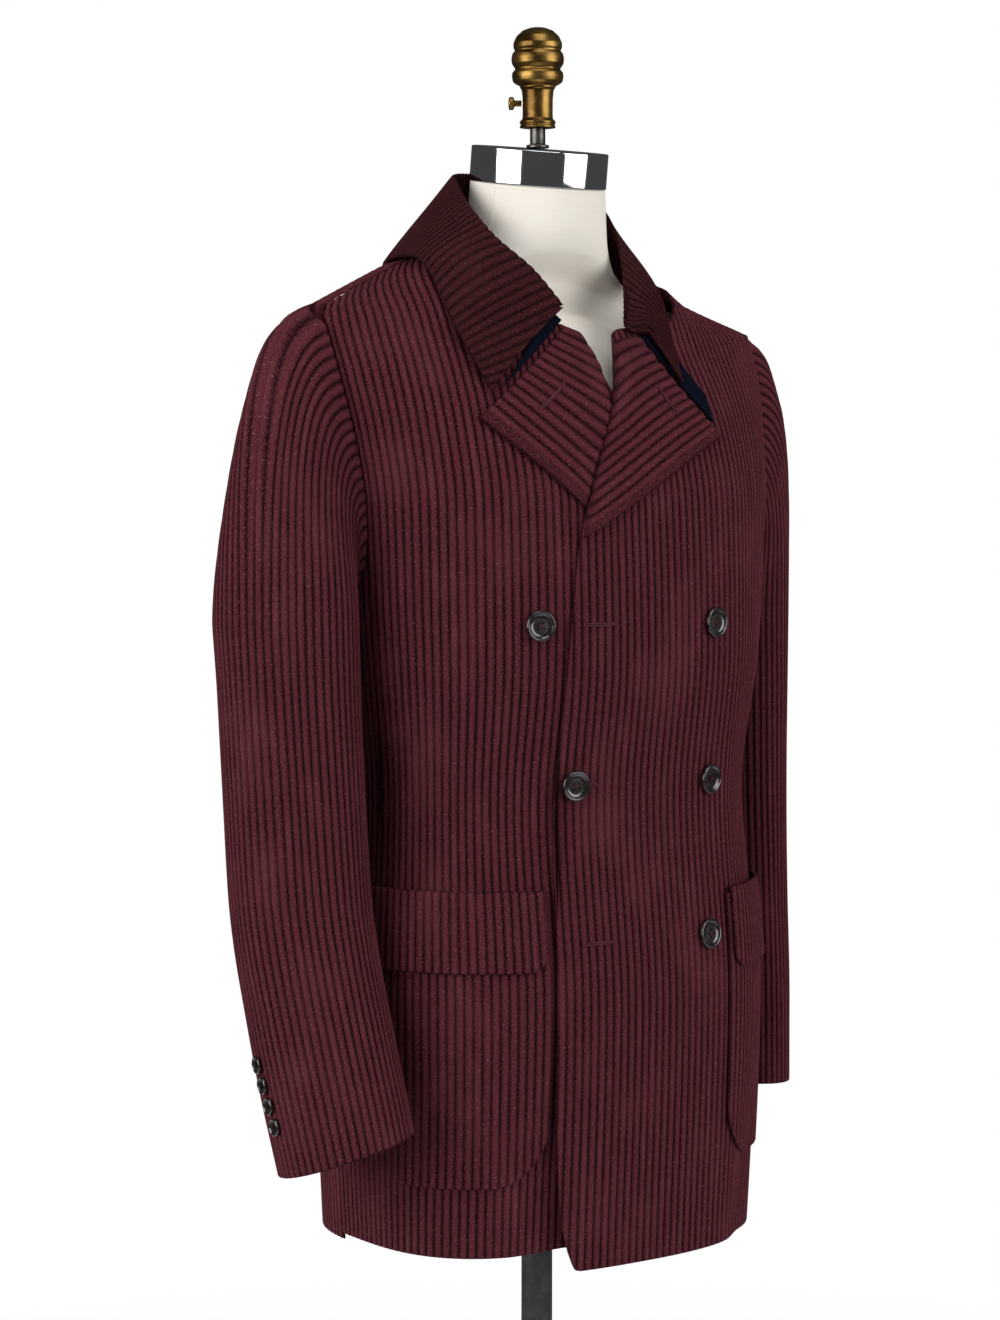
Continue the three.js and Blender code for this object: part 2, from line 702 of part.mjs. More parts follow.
// The felt under the collar, where it shows in the notch above each lapel
const undercollarEnds = {
  right: { low: [48, 1133, 122, 1079], high: [58, 1147, 108, 1097] },
  left: { low: [41, 1139, 88, 1070], high: [56, 1156, 84, 1098] },
};
for (const side of [-1, 1]) {
  const name = side < 0 ? "right" : "left";
  const { low, high } = undercollarEnds[name];
  const wedge = clothWall({
    columns: evenRows(6),
    rows: evenRows(3),
    every: 1,
    thickness: 1.5,
    ribs: 0,
    at: (u, v, out) => {
      const arc = mix(mix(low[0], low[2], u), mix(high[0], high[2], u), v);
      const z = mix(mix(low[1], low[3], u), mix(high[1], high[3], u), v);
      return onBody("front", side, arc, z, out + layerStep + overLift(side, arc));
    },
  });
  addPiece(coat, `undercollar_${name}`, side > 0 ? wedge : turnedOver(wedge), felt());
}

// A closed solid through rings of points, each end closed by a point in its middle
function ringSolid(rings, ends, settle = false) {
  const positions = [];
  const triangles = [];
  const push = (p) => positions.push(p.x, p.y, p.z) / 3 - 1;
  const placed = rings.map((ring) => ring.map((p) => push(settle ? settled(p) : p)));
  const [start, end] = ends.map((p) => push(settle ? settled(p) : p));
  const count = rings[0].length;
  for (let i = 0; i < count; i += 1) {
    const next = (i + 1) % count;
    triangles.push(start, placed[0][next], placed[0][i]);
    for (let j = 0; j < placed.length - 1; j += 1) {
      const [a, b] = [placed[j], placed[j + 1]];
      triangles.push(a[i], a[next], b[next], a[i], b[next], b[i]);
    }
    triangles.push(end, placed[placed.length - 1][i], placed[placed.length - 1][next]);
  }
  const geometry = new THREE.BufferGeometry();
  geometry.setAttribute("position", new THREE.Float32BufferAttribute(positions, 3));
  geometry.setIndex(triangles);
  return geometry;
}

// A solid turned about +Z from a profile of radius and height, whose ends lie on the axis
function turnedSolid(profile, segments) {
  const rings = profile.slice(1, -1).map(([radius, z]) =>
    Array.from({ length: segments }, (_, i) => {
      const angle = (2 * Math.PI * i) / segments;
      return new THREE.Vector3(radius * Math.cos(angle), radius * Math.sin(angle), z);
    }),
  );
  const ends = [profile[0], profile[profile.length - 1]].map(([, z]) => new THREE.Vector3(0, 0, z));
  return ringSolid(rings, ends);
}

const seatGap = 0.35;
const upright = new THREE.Vector3(0, 0, 1);
function addButton(name, geometry, place, normal) {
  const button = addPiece(coat, name, geometry, horn());
  button.position.copy(place).addScaledVector(normal, seatGap);
  button.quaternion.setFromUnitVectors(upright, normal);
}

// Front buttons by their arc and height on the fronts, with a dished face inside a thick rim
const frontButton = { radius: 12.5, rim: 4.4, dish: 3.2, thickness: 4.3 };
const frontButtons = [
  { name: "fastened", side: 1, arc: -62, z: 780 },
  { name: "left_top", side: 1, arc: 70, z: 905 },
  { name: "left_middle", side: 1, arc: 75, z: 777 },
  { name: "left_low", side: 1, arc: 65, z: 651 },
  { name: "right_top", side: -1, arc: 97, z: 907 },
];
for (const { name, side, arc, z } of frontButtons) {
  const { radius, rim, dish, thickness } = frontButton;
  const profile = [
    [0, 0],
    [radius - 1.2, 0],
    [radius, 2.2],
    [radius - 1.4, thickness],
    [radius - rim, dish],
    [0, dish],
  ];
  const lift = overLift(side, arc) + clothThickness + waleDepth;
  const place = onBody("front", side, arc, z, lift);
  addButton(`button_${name}`, turnedSolid(profile, 10), place, bodyNormal("front", side, arc, z));
}

// Cuff buttons down the outside of each sleeve, just in front of the hindarm seam
const cuffButton = { radius: 7.5, thickness: 3.2, spacing: 15.4 };
const cuffButtonRows = {
  right: { z: 559, turn: 226, lean: -2.8 },
  left: { z: 556, turn: 224, lean: 0 },
};
for (const side of [-1, 1]) {
  const place = side < 0 ? "right" : "left";
  const row = cuffButtonRows[place];
  const { radius, thickness, spacing } = cuffButton;
  const profile = [
    [0, 0],
    [radius, 0.6],
    [radius - 0.8, thickness],
    [0, thickness - 0.8],
  ];
  for (let i = 0; i < 4; i += 1) {
    const turn = ((row.turn + row.lean * i) * Math.PI) / 180;
    const z = row.z - i * spacing;
    const lastRow = headRows + sleeveLevels.length;
    const [over, under] = [lastRow - 1, lastRow].map((level) =>
      sleevePoint(side, turn, level).addScaledVector(
        sleeveNormal(side, turn, level),
        clothThickness + waleDepth,
      ),
    );
    const normal = sleeveNormal(side, turn, lastRow - 0.4);
    const seat = over.clone().lerp(under, (over.z - z) / (over.z - under.z));
    addButton(`button_cuff_${place}_${i + 1}`, turnedSolid(profile, 9), seat, normal);
  }
}

// The dress form: a padded torso and neck that carries the coat at the shoulders
const neckTilt = (7 * Math.PI) / 180;
const neckTop = 1261;
const formRings = [
  { z: 455, half: 146, front: 112, back: 122 },
  { z: 610, half: 172, front: 130, back: 130 },
  { z: 765, half: 161, front: 118, back: 117 },
  { z: 880, half: 175, front: 130, back: 134 },
  { z: 1000, half: 184, front: 124, back: 138 },
  { z: 1060, half: 188, front: 106, back: 128 },
  { z: 1110, half: 193, front: 82, back: 104 },
  { z: 1150, half: 194, front: 48, back: 62 },
  { z: 1158, half: 195.6, front: 31, back: 43 },
  { z: 1180, half: 151.2, front: 30, back: 40 },
  { z: 1197, half: 92, front: 42, back: 50 },
  { z: 1206, half: 71, front: 48, back: 56 },
  { z: 1226, half: 60, front: 53, back: 56 },
  { z: neckTop, half: 56, front: 55, back: 55 },
];
const formSegments = 16;
function formRing({ z, half, front, back }) {
  const round = smooth((z - 1180) / 60);
  const power = 2 / mix(ringSquareness, 2, round);
  const setBack = ridgeSetBack * smooth((z - 1000) / 150) * (1 - round);
  return Array.from({ length: formSegments }, (_, i) => {
    const angle = (2 * Math.PI * i) / formSegments;
    const across = Math.cos(angle);
    const along = Math.sin(angle);
    const depth = along < 0 ? front : back;
    const x = half * Math.sign(across) * Math.abs(across) ** power;
    const y = depth * Math.sign(along) * Math.abs(along) ** power;
    const tilt = z === neckTop ? y * Math.tan(neckTilt) : 0;
    return new THREE.Vector3(x, y + setBack * (1 - (y / depth) ** 2), z + tilt);
  });
}
const formEnds = [new THREE.Vector3(0, 0, formRings[0].z), new THREE.Vector3(0, 0, neckTop)];
const torso = ringSolid(formRings.map(formRing), formEnds, true);
addPiece(form, "form_torso", torso, canvas());

// A polished cap on the neck, with a rod and a turned finial
const capHeight = 29;
const capRadius = 56.5;
const cap = turnedSolid(
  [
    [0, 0],
    [capRadius, 0],
    [capRadius, capHeight - 1.5],
    [capRadius - 1.5, capHeight],
    [0, capHeight],
  ],
  20,
);
const capMesh = addPiece(form, "neck_cap", cap, chrome());
capMesh.rotation.x = neckTilt;
capMesh.position.set(0, 0, neckTop + seatGap);

const rodRadius = 6.35;
const finialFoot = 1308;
const rodFoot = neckTop + capHeight / Math.cos(neckTilt) + rodRadius * Math.tan(neckTilt) + 0.6;
const rod = turnedSolid(
  [
    [0, 0],
    [rodRadius, 0],
    [rodRadius, finialFoot - seatGap - rodFoot],
    [0, finialFoot - seatGap - rodFoot],
  ],
  12,
);
addPiece(form, "neck_rod", rod, iron()).position.set(0, 0, rodFoot);

const finialProfile = [
  [0, 0],
  [14.8, 0],
  [14.8, 5],
  [12.4, 9],
  [13, 33],
  [21.3, 38],
  [21.3, 46],
  [19.2, 49],
  [21.5, 53],
  [21.5, 60],
  [20, 64],
  [17.5, 74],
  [10, 80.5],
  [0, 82],
];
const finial = turnedSolid(finialProfile, 11);
addPiece(form, "finial", finial, brass()).position.set(0, 0, finialFoot);

const screwProfile = [
  [0, 0],
  [2.6, 0],
  [2.6, 6],
  [5.2, 7],
  [5.2, 10],
  [0, 11],
];
const screw = addPiece(form, "thumbscrew", turnedSolid(screwProfile, 8), brass());
const screwWay = new THREE.Vector3(-0.809, 0.588, 0).normalize();
screw.quaternion.setFromUnitVectors(upright, screwWay);
screw.position.copy(screwWay).multiplyScalar(12.9 + seatGap).setZ(finialFoot + 20);

// The stand: a pole on a round, weighted base
const baseRadius = 205;
const baseTop = 44;
const baseProfile = [
  [0, 0],
  [baseRadius, 0],
  [baseRadius, 9],
  [baseRadius - 14, 17],
  [52, 27],
  [24, baseTop],
  [0, baseTop],
];
addPiece(form, "stand_base", turnedSolid(baseProfile, 24), iron());
const poleRadius = 13;
const poleTop = formRings[0].z - seatGap;
const poleProfile = [
  [0, baseTop + seatGap],
  [poleRadius, baseTop + seatGap],
  [poleRadius, poleTop],
  [0, poleTop],
];
addPiece(form, "stand_pole", turnedSolid(poleProfile, 12), iron());

coat.add(form);
export default coat;
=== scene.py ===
import math

import bpy
import numpy as np
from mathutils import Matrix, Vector


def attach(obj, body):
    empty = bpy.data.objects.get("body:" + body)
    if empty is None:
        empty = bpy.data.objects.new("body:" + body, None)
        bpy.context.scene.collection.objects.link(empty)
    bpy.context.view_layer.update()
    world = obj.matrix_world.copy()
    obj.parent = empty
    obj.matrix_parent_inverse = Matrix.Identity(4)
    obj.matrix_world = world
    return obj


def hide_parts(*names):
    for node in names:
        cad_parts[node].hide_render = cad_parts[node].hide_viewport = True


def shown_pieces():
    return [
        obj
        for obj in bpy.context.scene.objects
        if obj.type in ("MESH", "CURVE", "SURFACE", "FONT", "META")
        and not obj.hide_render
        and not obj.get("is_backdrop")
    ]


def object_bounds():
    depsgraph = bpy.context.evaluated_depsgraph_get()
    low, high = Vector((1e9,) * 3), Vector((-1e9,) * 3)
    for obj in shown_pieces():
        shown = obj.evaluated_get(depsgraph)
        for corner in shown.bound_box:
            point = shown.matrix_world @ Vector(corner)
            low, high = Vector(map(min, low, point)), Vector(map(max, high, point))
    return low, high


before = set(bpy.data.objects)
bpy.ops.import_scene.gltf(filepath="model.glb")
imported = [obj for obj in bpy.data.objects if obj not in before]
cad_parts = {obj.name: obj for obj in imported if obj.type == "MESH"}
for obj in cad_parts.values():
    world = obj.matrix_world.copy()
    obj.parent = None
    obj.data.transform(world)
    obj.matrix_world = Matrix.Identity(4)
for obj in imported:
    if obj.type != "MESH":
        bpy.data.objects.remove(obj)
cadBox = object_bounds()
print("frame loaded:", len(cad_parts), "nodes")

# Sizes are in millimetres up to the point where a mesh is made. Sides are the wearer's own.
mm = 0.001
words = {-1: "right", 1: "left"}


def tone(code):
    # a hex colour as seen on screen, turned into linear red, green, blue and alpha
    parts = [int(code[i:i + 2], 16) / 255 for i in (0, 2, 4)]
    linear = [p / 12.92 if p <= 0.04045 else ((p + 0.055) / 1.055) ** 2.4 for p in parts]
    return (*linear, 1.0)


class Signal:
    # a node's output; sums on it add Math nodes to its finish
    def __init__(self, finish, socket):
        self.finish = finish
        self.socket = socket

    def sum(self, operation, first, second=0.0, clamp=False):
        settings = {"operation": operation, "use_clamp": clamp}
        return self.finish.node("ShaderNodeMath", settings, {0: first, 1: second})

    def __add__(self, other):
        return self.sum("ADD", self, other)

    __radd__ = __add__

    def __sub__(self, other):
        return self.sum("SUBTRACT", self, other)

    def __mul__(self, other):
        return self.sum("MULTIPLY", self, other)

    __rmul__ = __mul__

    def __pow__(self, other):
        return self.sum("POWER", self, other)

    def held(self):
        return self.sum("ADD", self, 0.0, clamp=True)


class Finish:
    # one material: fixed numbers sit on its shader, and node() makes every other node
    def __init__(self, name, fixed):
        self.material = bpy.data.materials.new(name)
        self.material.use_nodes = True
        self.tree = self.material.node_tree
        self.shader = self.tree.nodes["Principled BSDF"]
        for key, value in fixed.items():
            self.shader.inputs[key].default_value = value

    def plug(self, value, socket):
        if isinstance(value, Signal):
            self.tree.links.new(value.socket, socket)
        else:
            socket.default_value = value

    def node(self, kind, settings=None, inputs=None, output=0):
        made = self.tree.nodes.new(kind)
        for key, value in (settings or {}).items():
            if key == "stops":
                ramp = made.color_ramp
                for place, colour in value[2:]:
                    ramp.elements.new(place)
                for element, (place, colour) in zip(ramp.elements, sorted(value)):
                    element.position = place
                    element.color = colour
            else:
                setattr(made, key, value)
        for key, value in (inputs or {}).items():
            self.plug(value, made.inputs[key])
        return Signal(self, made.outputs[output])

    def place(self):
        return self.node("ShaderNodeTexCoord", output=3)

    def reading(self, name, output=2):
        return self.node("ShaderNodeAttribute", {"attribute_name": name}, output=output)

    def stretched(self, where, scale):
        return self.node("ShaderNodeVectorMath", {"operation": "MULTIPLY"}, {0: where, 1: scale})

    def noise(self, where, scale, detail=2.0, roughness=0.5):
        inputs = {"Vector": where, "Scale": scale, "Detail": detail, "Roughness": roughness}
        return self.node("ShaderNodeTexNoise", None, inputs)

    def blend(self, factor, first, second):
        settings = {"data_type": "RGBA", "blend_type": "MIX", "clamp_factor": True}
        return self.node("ShaderNodeMix", settings, {0: factor, 6: first, 7: second}, output=2)

    def ramp(self, factor, stops):
        return self.node("ShaderNodeValToRGB", {"stops": stops}, {0: factor})

    def bump(self, height, strength, distance):
        inputs = {"Height": height, "Strength": strength, "Distance": distance * mm}
        self.show("Normal", self.node("ShaderNodeBump", None, inputs))

    def show(self, socket, value):
        self.plug(value, self.shader.inputs[socket])


# Corduroy: painted shade in the grooves between the wales and a painted highlight along the ridge
# tops, over random fuzz, strands, crushed nap and lint
def corduroyFinish(name, colours):
    finish = Finish(name, {
        "Specular IOR Level": 0.06,
        "Sheen Weight": colours["sheen"],
        "Sheen Roughness": 0.42,
        "Sheen Tint": tone(colours["sheenTint"]),
    })
    ridge = finish.reading("ridge")
    lay = finish.reading("lay", 1)
    fuzz = finish.noise(lay, 620.0, 4.0, 0.7)
    strand = finish.noise(finish.stretched(lay, (1500.0, 260.0, 1.0)), 1.0, 2.0)
    brushed = finish.noise(finish.stretched(lay, (14.0, 9.0, 1.0)), 1.0, 3.0, 0.55)
    lean = finish.noise(finish.stretched(lay, (143.0, 14.0, 1.0)), 1.0, 2.0)
    # painted shade: the grooves go dark as the ridge height drops, mixed with random fuzz and
    # strands
    grooveShadeAndFuzz = (ridge ** 2.2 * 1.05 + (fuzz - 0.5) * 2.2 + (strand - 0.5) * 0.8).held()
    cloth = finish.blend(grooveShadeAndFuzz, tone(colours["valleyShade"]), tone(colours["ridge"]))
    # crushed nap: random paler patches towards the same pale colour
    worn = finish.blend((brushed - 0.5) * 1.6, cloth, tone(colours["crushedNapAndHighlight"]))
    # painted highlight: the ridge tops go towards the pale colour in random streaks along the wales
    ridgeHighlight = finish.blend((lean - 0.55) * ridge * 2.2, worn, tone(colours["crushedNapAndHighlight"]))
    specks = finish.noise(lay, 700.0, 1.0)
    fluffed = finish.blend((specks - 0.62) * ridge * 7.0, ridgeHighlight, tone(colours["lint"]))
    finish.show("Base Color", fluffed)
    finish.show("Roughness", 0.85 + (fuzz - 0.5) * 0.2)
    finish.bump(fuzz * 0.9 + strand * 0.6, 1.0, 1.6)
    return finish.material


# The valley colour is painted shade in the grooves; the lit colour serves both crushed nap and a
# painted highlight on the ridge tops
bodyColours = {
    "ridge": "5e2a31",
    "valleyShade": "1e080c",
    "crushedNapAndHighlight": "733a43",
    "lint": "8c5660",
    "sheen": 0.1,
    "sheenTint": "b4606e",
}
collarColours = {
    "ridge": "401a1d",
    "valleyShade": "1c080a",
    "crushedNapAndHighlight": "4c2427",
    "lint": "6e3e42",
    "sheen": 0.08,
    "sheenTint": "a0686c",
}
corduroy = corduroyFinish("wideWaleCorduroy", bodyColours)
collarCorduroy = corduroyFinish("collarCorduroy", collarColours)


def feltFinish():
    finish = Finish("navyFelt", {"Specular IOR Level": 0.04})
    where = finish.place()
    matted = finish.noise(where, 900.0, 4.0, 0.65)
    cloudy = finish.noise(where, 120.0, 2.0)
    mixed = matted * 0.6 + cloudy * 0.4
    finish.show("Base Color", finish.blend(mixed, tone("04050a"), tone("0f1528")))
    finish.show("Roughness", 0.88 + (matted - 0.5) * 0.15)
    finish.bump(matted, 0.5, 0.5)
    return finish.material


def hornFinish():
    finish = Finish("darkHorn", {"Specular IOR Level": 0.6, "Coat Roughness": 0.06, "IOR": 1.54})
    where = finish.place()
    cloud = finish.noise(finish.stretched(where, (1.0, 1.0, 2.2)), 95.0, 4.0, 0.6)
    grain = finish.noise(finish.stretched(where, (260.0, 90.0, 420.0)), 1.0, 3.0)
    base = finish.ramp(cloud * 0.75 + grain * 0.25, [
        (0.35, tone("0d0a09")),
        (0.52, tone("1b1513")),
        (0.66, tone("33261f")),
        (0.8, tone("4a3a30")),
    ])
    finish.show("Base Color", base)
    finish.show("Roughness", 0.16 + grain * 0.12)
    finish.show("Coat Weight", 0.6 + cloud * 0.3)
    finish.bump(grain, 0.08, 0.15)
    return finish.material


def threadFinish(name, dark, light):
    finish = Finish(name, {"Specular IOR Level": 0.15, "Sheen Weight": 0.06})
    where = finish.place()
    twist = finish.noise(where, 2400.0, 2.0)
    finish.show("Base Color", finish.blend(twist, tone(dark), tone(light)))
    finish.show("Roughness", 0.62 + twist * 0.2)
    finish.bump(twist, 0.4, 0.2)
    return finish.material


# painted shadow: a near-black sheet for the buttonhole slits and the button holes, mottled by noise
def shadowFinish():
    finish = Finish("slitShadow", {"Specular IOR Level": 0.05})
    shadeMottle = finish.noise(finish.place(), 1500.0, 2.0)
    finish.show("Base Color", finish.blend(shadeMottle, tone("050304"), tone("12080a")))
    finish.show("Roughness", 0.9 + shadeMottle * 0.08)
    return finish.material


def linenFinish():
    finish = Finish("formLinen", {"Specular IOR Level": 0.25, "Sheen Weight": 0.15})
    where = finish.place()
    lay = finish.reading("lay", 1)
    warp, weft = (
        finish.node("ShaderNodeTexWave", {"wave_type": "BANDS", "bands_direction": way},
                    {"Vector": lay, "Scale": scale, "Distortion": 1.2, "Detail": 2.0})
        for way, scale in (("X", 390.0), ("Y", 420.0)))
    weave = warp * 0.5 + weft * 0.5
    slub = finish.noise(finish.stretched(lay, (40.0, 400.0, 1.0)), 1.0, 3.0)
    aged = finish.noise(where, 14.0, 4.0, 0.6)
    cream = finish.blend(weave * 0.5 + slub * 0.5, tone("f0e8da"), tone("fefaf2"))
    finish.show("Base Color", finish.blend((aged - 0.45) * 0.9, cream, tone("eee2cb")))
    finish.show("Roughness", 0.78 + weave * 0.1)
    finish.bump(weave * 0.6 + slub * 0.6, 0.25, 0.3)
    return finish.material


def metalFinish(name, tones, roughness, cloudScale=60.0, metallic=1.0, scratch=0.1, bump=0.04):
    # tones run from the darkest to the lightest
    finish = Finish(name, {"Specular IOR Level": 0.5})
    where = finish.place()
    cloud = finish.noise(where, cloudScale, 4.0, 0.6)
    line = finish.noise(finish.stretched(where, (300.0, 300.0, 2600.0)), 1.0, 2.0)
    patina = finish.ramp(cloud * 0.8 + line * 0.2,
                         [(at, tone(code)) for at, code in zip((0.38, 0.5, 0.64), tones)])
    finish.show("Base Color", patina)
    finish.show("Metallic", metallic)
    finish.show("Roughness", roughness + (cloud - 0.5) * scratch + (line - 0.5) * scratch)
    finish.bump(line * 0.5 + cloud * 0.5, bump, 0.3)
    return finish.material


navyFelt = feltFinish()
darkHorn = hornFinish()
wineThread = threadFinish("wineThread", "3a121b", "6e3240")
blackThread = threadFinish("blackThread", "0a0808", "241c1c")
slitShadow = shadowFinish()
formLinen = linenFinish()
neckChrome = metalFinish("neckChrome", ("dfe1e3", "e2e4e6", "e6e8ea"), 0.06, 12.0, scratch=0.02,
                         bump=0.003)
rodSteel = metalFinish("rodSteel", ("33312f", "5a5753", "7c7873"), 0.36, scratch=0.2, bump=0.08)
antiqueBrass = metalFinish("antiqueBrass", ("5b4222", "8d6d38", "b08f50"), 0.34, 45.0, scratch=0.28,
                           bump=0.14)
enamelledIron = metalFinish("enamelledIron", ("2a2b2d", "36373a", "44464a"), 0.42, metallic=0.25,
                            scratch=0.18, bump=0.1)
print("finishes made:", len(bpy.data.materials))


def makePiece(name, points, faces, material, nodes, slot, values=None, more=None):
    # points in millimetres; more is a list of (material, number of the last faces that wear it)
    mesh = bpy.data.meshes.new(name)
    mesh.from_pydata((np.asarray(points) * mm).tolist(), [], faces)
    mesh.validate(clean_customdata=False)
    for key, (kind, data) in (values or {}).items():
        layer = mesh.attributes.new(key, kind, "POINT")
        field = "vector" if kind == "FLOAT_VECTOR" else "value"
        layer.data.foreach_set(field, np.asarray(data, dtype=np.float32).ravel())
    mesh.materials.append(material)
    if more:
        slots = np.zeros(len(mesh.polygons), dtype=np.int32)
        for number, (other, count) in enumerate(more, 1):
            mesh.materials.append(other)
            slots[len(slots) - count:] = number
        mesh.polygons.foreach_set("material_index", slots)
    mesh.polygons.foreach_set("use_smooth", np.ones(len(mesh.polygons), dtype=bool))
    mesh.update()
    piece = bpy.data.objects.new(name, mesh)
    bpy.context.scene.collection.objects.link(piece)
    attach(piece, "root")
    if nodes:
        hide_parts(*nodes)
    return piece


# The coat's body: the same rings as its solids, with smooth curves between heights. The front
# edges near the neck follow the photo more closely than the solids do.
bodySizes = {
    "walePitch": 7.0,
    "thickness": 1.9,
    "waleDepth": 1.4,
    "clothHeight": 3.3,
    "layerStep": 4.1,
    "seamGap": 0.4,
    "hemHeight": 390,
    "rightHemRise": 17,
    "armpitHeight": 925,
    "armholeWidest": 985,
    "shoulderHeight": 1157,
    "neckHeight": 1212,
    "armholeFrontArc": 238,
    "sideSeamPastSide": 28,
    "armholeHalfWidth": 43,
    "squareness": 2.5,
    "ridgeSetBack": 14,
    "leftShoulderDrop": 24,
}
bodyRings = {
    "z": [380, 600, 765, 880, 1000, 1060, 1110, 1150, 1180, 1212],
    "half": [174, 184.5, 173, 187, 198, 206, 216, 216, 153, 84],
    "front": [136, 144.5, 131, 142, 137, 122, 100, 78, 70, 66],
    "back": [146, 145, 129, 148, 150, 142, 122, 95, 83, 72],
}
leftEdge = {
    "arc": [-84, -80, -74, -62, -50, -29, -7, 9, 32, 58, 84, 118],
    "low": [540, 455, 420, 391, 389, 389, 389, 389, 389, 389, 389, 389],
    "high": [610, 730, 880, 974, 1011, 1053, 1095, 1137, 1146, 1154, 1172, 1207],
}
rightEdge = {
    "arc": [-78, -60, -34, -12, 10, 29, 60, 84, 118],
    "low": [410, 408, 407, 407, 407, 407, 407, 406, 405],
    "high": [780, 900, 974, 1020, 1094, 1140, 1150, 1168, 1207],
}
# panel, side, arc, width, depth, and the height where the fold fades out
skirtFolds = [
    ("front", -1, 72, 34, -9, 700),
    ("front", -1, 175, 60, 5, 560),
    ("front", 1, 205, 45, 5, 600),
    ("front", 1, 130, 30, -3, 560),
    ("back", -1, 110, 42, 7, 720),
    ("back", 1, 122, 46, 6, 690),
    ("back", 1, 45, 30, -4, 640),
]
layerStep = bodySizes["layerStep"]
seamGap = bodySizes["seamGap"]
clothHeight = bodySizes["clothHeight"]


def smooth(t):
    x = np.clip(t, 0, 1)
    return x * x * (3 - 2 * x)


def mix(a, b, t):
    return a + (b - a) * t


def curve(start, end, leaving, arriving, t):
    # from start to end, with a direction at each
    return (start * (2 * t ** 3 - 3 * t ** 2 + 1) + leaving * (t ** 3 - 2 * t ** 2 + t)
            + end * (3 * t ** 2 - 2 * t ** 3) + arriving * (t ** 3 - t ** 2))


def spread(column, like):
    return np.broadcast_to(column[:, None], like.shape)


def readTable(keys, values, x):
    # a curve through the table that never overshoots it
    keys = np.asarray(keys, float)
    values = np.asarray(values, float)
    x = np.clip(x, keys[0], keys[-1])
    i = np.clip(np.searchsorted(keys, x) - 1, 0, len(keys) - 2)
    slope = np.diff(values) / np.diff(keys)
    tangent = np.concatenate([slope[:1], np.zeros(len(keys) - 2), slope[-1:]])
    both = slope[:-1] * slope[1:]
    total = slope[:-1] + slope[1:]
    inside = np.where(both > 0, 2 * both / np.where(total == 0, 1, total), 0)
    tangent[1:-1] = inside
    width = keys[i + 1] - keys[i]
    t = (x - keys[i]) / width
    return curve(values[i], values[i + 1], tangent[i] * width, tangent[i + 1] * width, t)


def readStraight(keys, values, x):
    keys = np.asarray(keys, float)
    values = np.asarray(values, float)
    i = np.clip(np.searchsorted(keys, x) - 1, 0, len(keys) - 2)
    t = (x - keys[i]) / (keys[i + 1] - keys[i])
    return mix(values[i], values[i + 1], t)


class RingTable:
    # half rings from the centre front to the centre back, read by height and arc
    def __init__(self):
        self.low = 360.0
        self.step = 2.0
        self.z = np.arange(self.low, 1246, self.step)
        smoothPart = 1 - smooth((self.z - 1080) / 50)
        size = {}
        for key in ("half", "front", "back"):
            straight = readStraight(bodyRings["z"], bodyRings[key], self.z)
            size[key] = mix(straight, readTable(bodyRings["z"], bodyRings[key], self.z), smoothPart)
        steps = 96
        angle = np.linspace(0, math.pi, 2 * steps + 1)
        power = 2 / bodySizes["squareness"]
        across = np.abs(np.sin(angle)) ** power
        along = np.abs(np.cos(angle)) ** power
        along[steps] = 0
        across[[0, -1]] = 0
        depth = np.where(np.arange(2 * steps + 1)[None, :] <= steps, -size["front"][:, None],
                         size["back"][:, None])
        x = size["half"][:, None] * across[None, :]
        y = depth * along[None, :]
        back = bodySizes["ridgeSetBack"] * smooth((self.z - 1000) / 150)[:, None]
        y = y + back * (1 - along[None, :] ** 2)
        arcs = np.cumsum(np.hypot(np.diff(x, axis=1), np.diff(y, axis=1)), axis=1)
        arcs = np.hstack([np.zeros((len(self.z), 1)), arcs])
        self.side = arcs[:, steps]
        self.whole = arcs[:, -1]
        self.arcs = np.arange(0, 640.0)
        self.x = np.array([np.interp(self.arcs, a, v) for a, v in zip(arcs, x)])
        self.y = np.array([np.interp(self.arcs, a, v) for a, v in zip(arcs, y)])

    def sideAt(self, z):
        return np.interp(z, self.z, self.side)

    def wholeAt(self, z):
        return np.interp(z, self.z, self.whole)

    def point(self, z, arc):
        arc, z = np.broadcast_arrays(np.asarray(arc, float), np.asarray(z, float))
        row = np.clip((z - self.low) / self.step, 0, len(self.z) - 1.001)
        col = np.clip(np.minimum(np.abs(arc), self.wholeAt(z)), 0, len(self.arcs) - 1.001)
        i, j = row.astype(int), col.astype(int)
        u, v = row - i, col - j
        found = []
        for grid in (self.x, self.y):
            near = mix(grid[i, j], grid[i, j + 1], v)
            far = mix(grid[i + 1, j], grid[i + 1, j + 1], v)
            found.append(mix(near, far, u))
        return np.where(arc < 0, -1, 1) * found[0], found[1]


rings = RingTable()
sideSeamArc = float(rings.sideAt(bodySizes["armpitHeight"])) + bodySizes["sideSeamPastSide"]
backSeamArc = float(rings.wholeAt(bodySizes["armpitHeight"])) - sideSeamArc
chestSide = float(rings.sideAt(bodySizes["armholeWidest"]))
chestWhole = float(rings.wholeAt(bodySizes["armholeWidest"]))
armholeMiddle = bodySizes["armholeFrontArc"] - chestSide + bodySizes["armholeHalfWidth"]
armholeBackArc = chestWhole - chestSide - armholeMiddle - bodySizes["armholeHalfWidth"]
neckBackArc = float(rings.wholeAt(1212) - rings.sideAt(1212))


def drawnIn(arc, z, plain, reference, here):
    moved = plain + (arc - plain) * (here - plain) / (reference - plain)
    return np.where((z >= bodySizes["armpitHeight"]) | (arc <= plain), arc, moved)


def waleArc(panel, arc, z):
    seam = rings.sideAt(z) + bodySizes["sideSeamPastSide"]
    if panel == "front":
        return drawnIn(arc, z, 100, sideSeamArc, seam)
    whole = rings.wholeAt(z)
    return whole - drawnIn(arc, z, 60, backSeamArc, whole - seam)


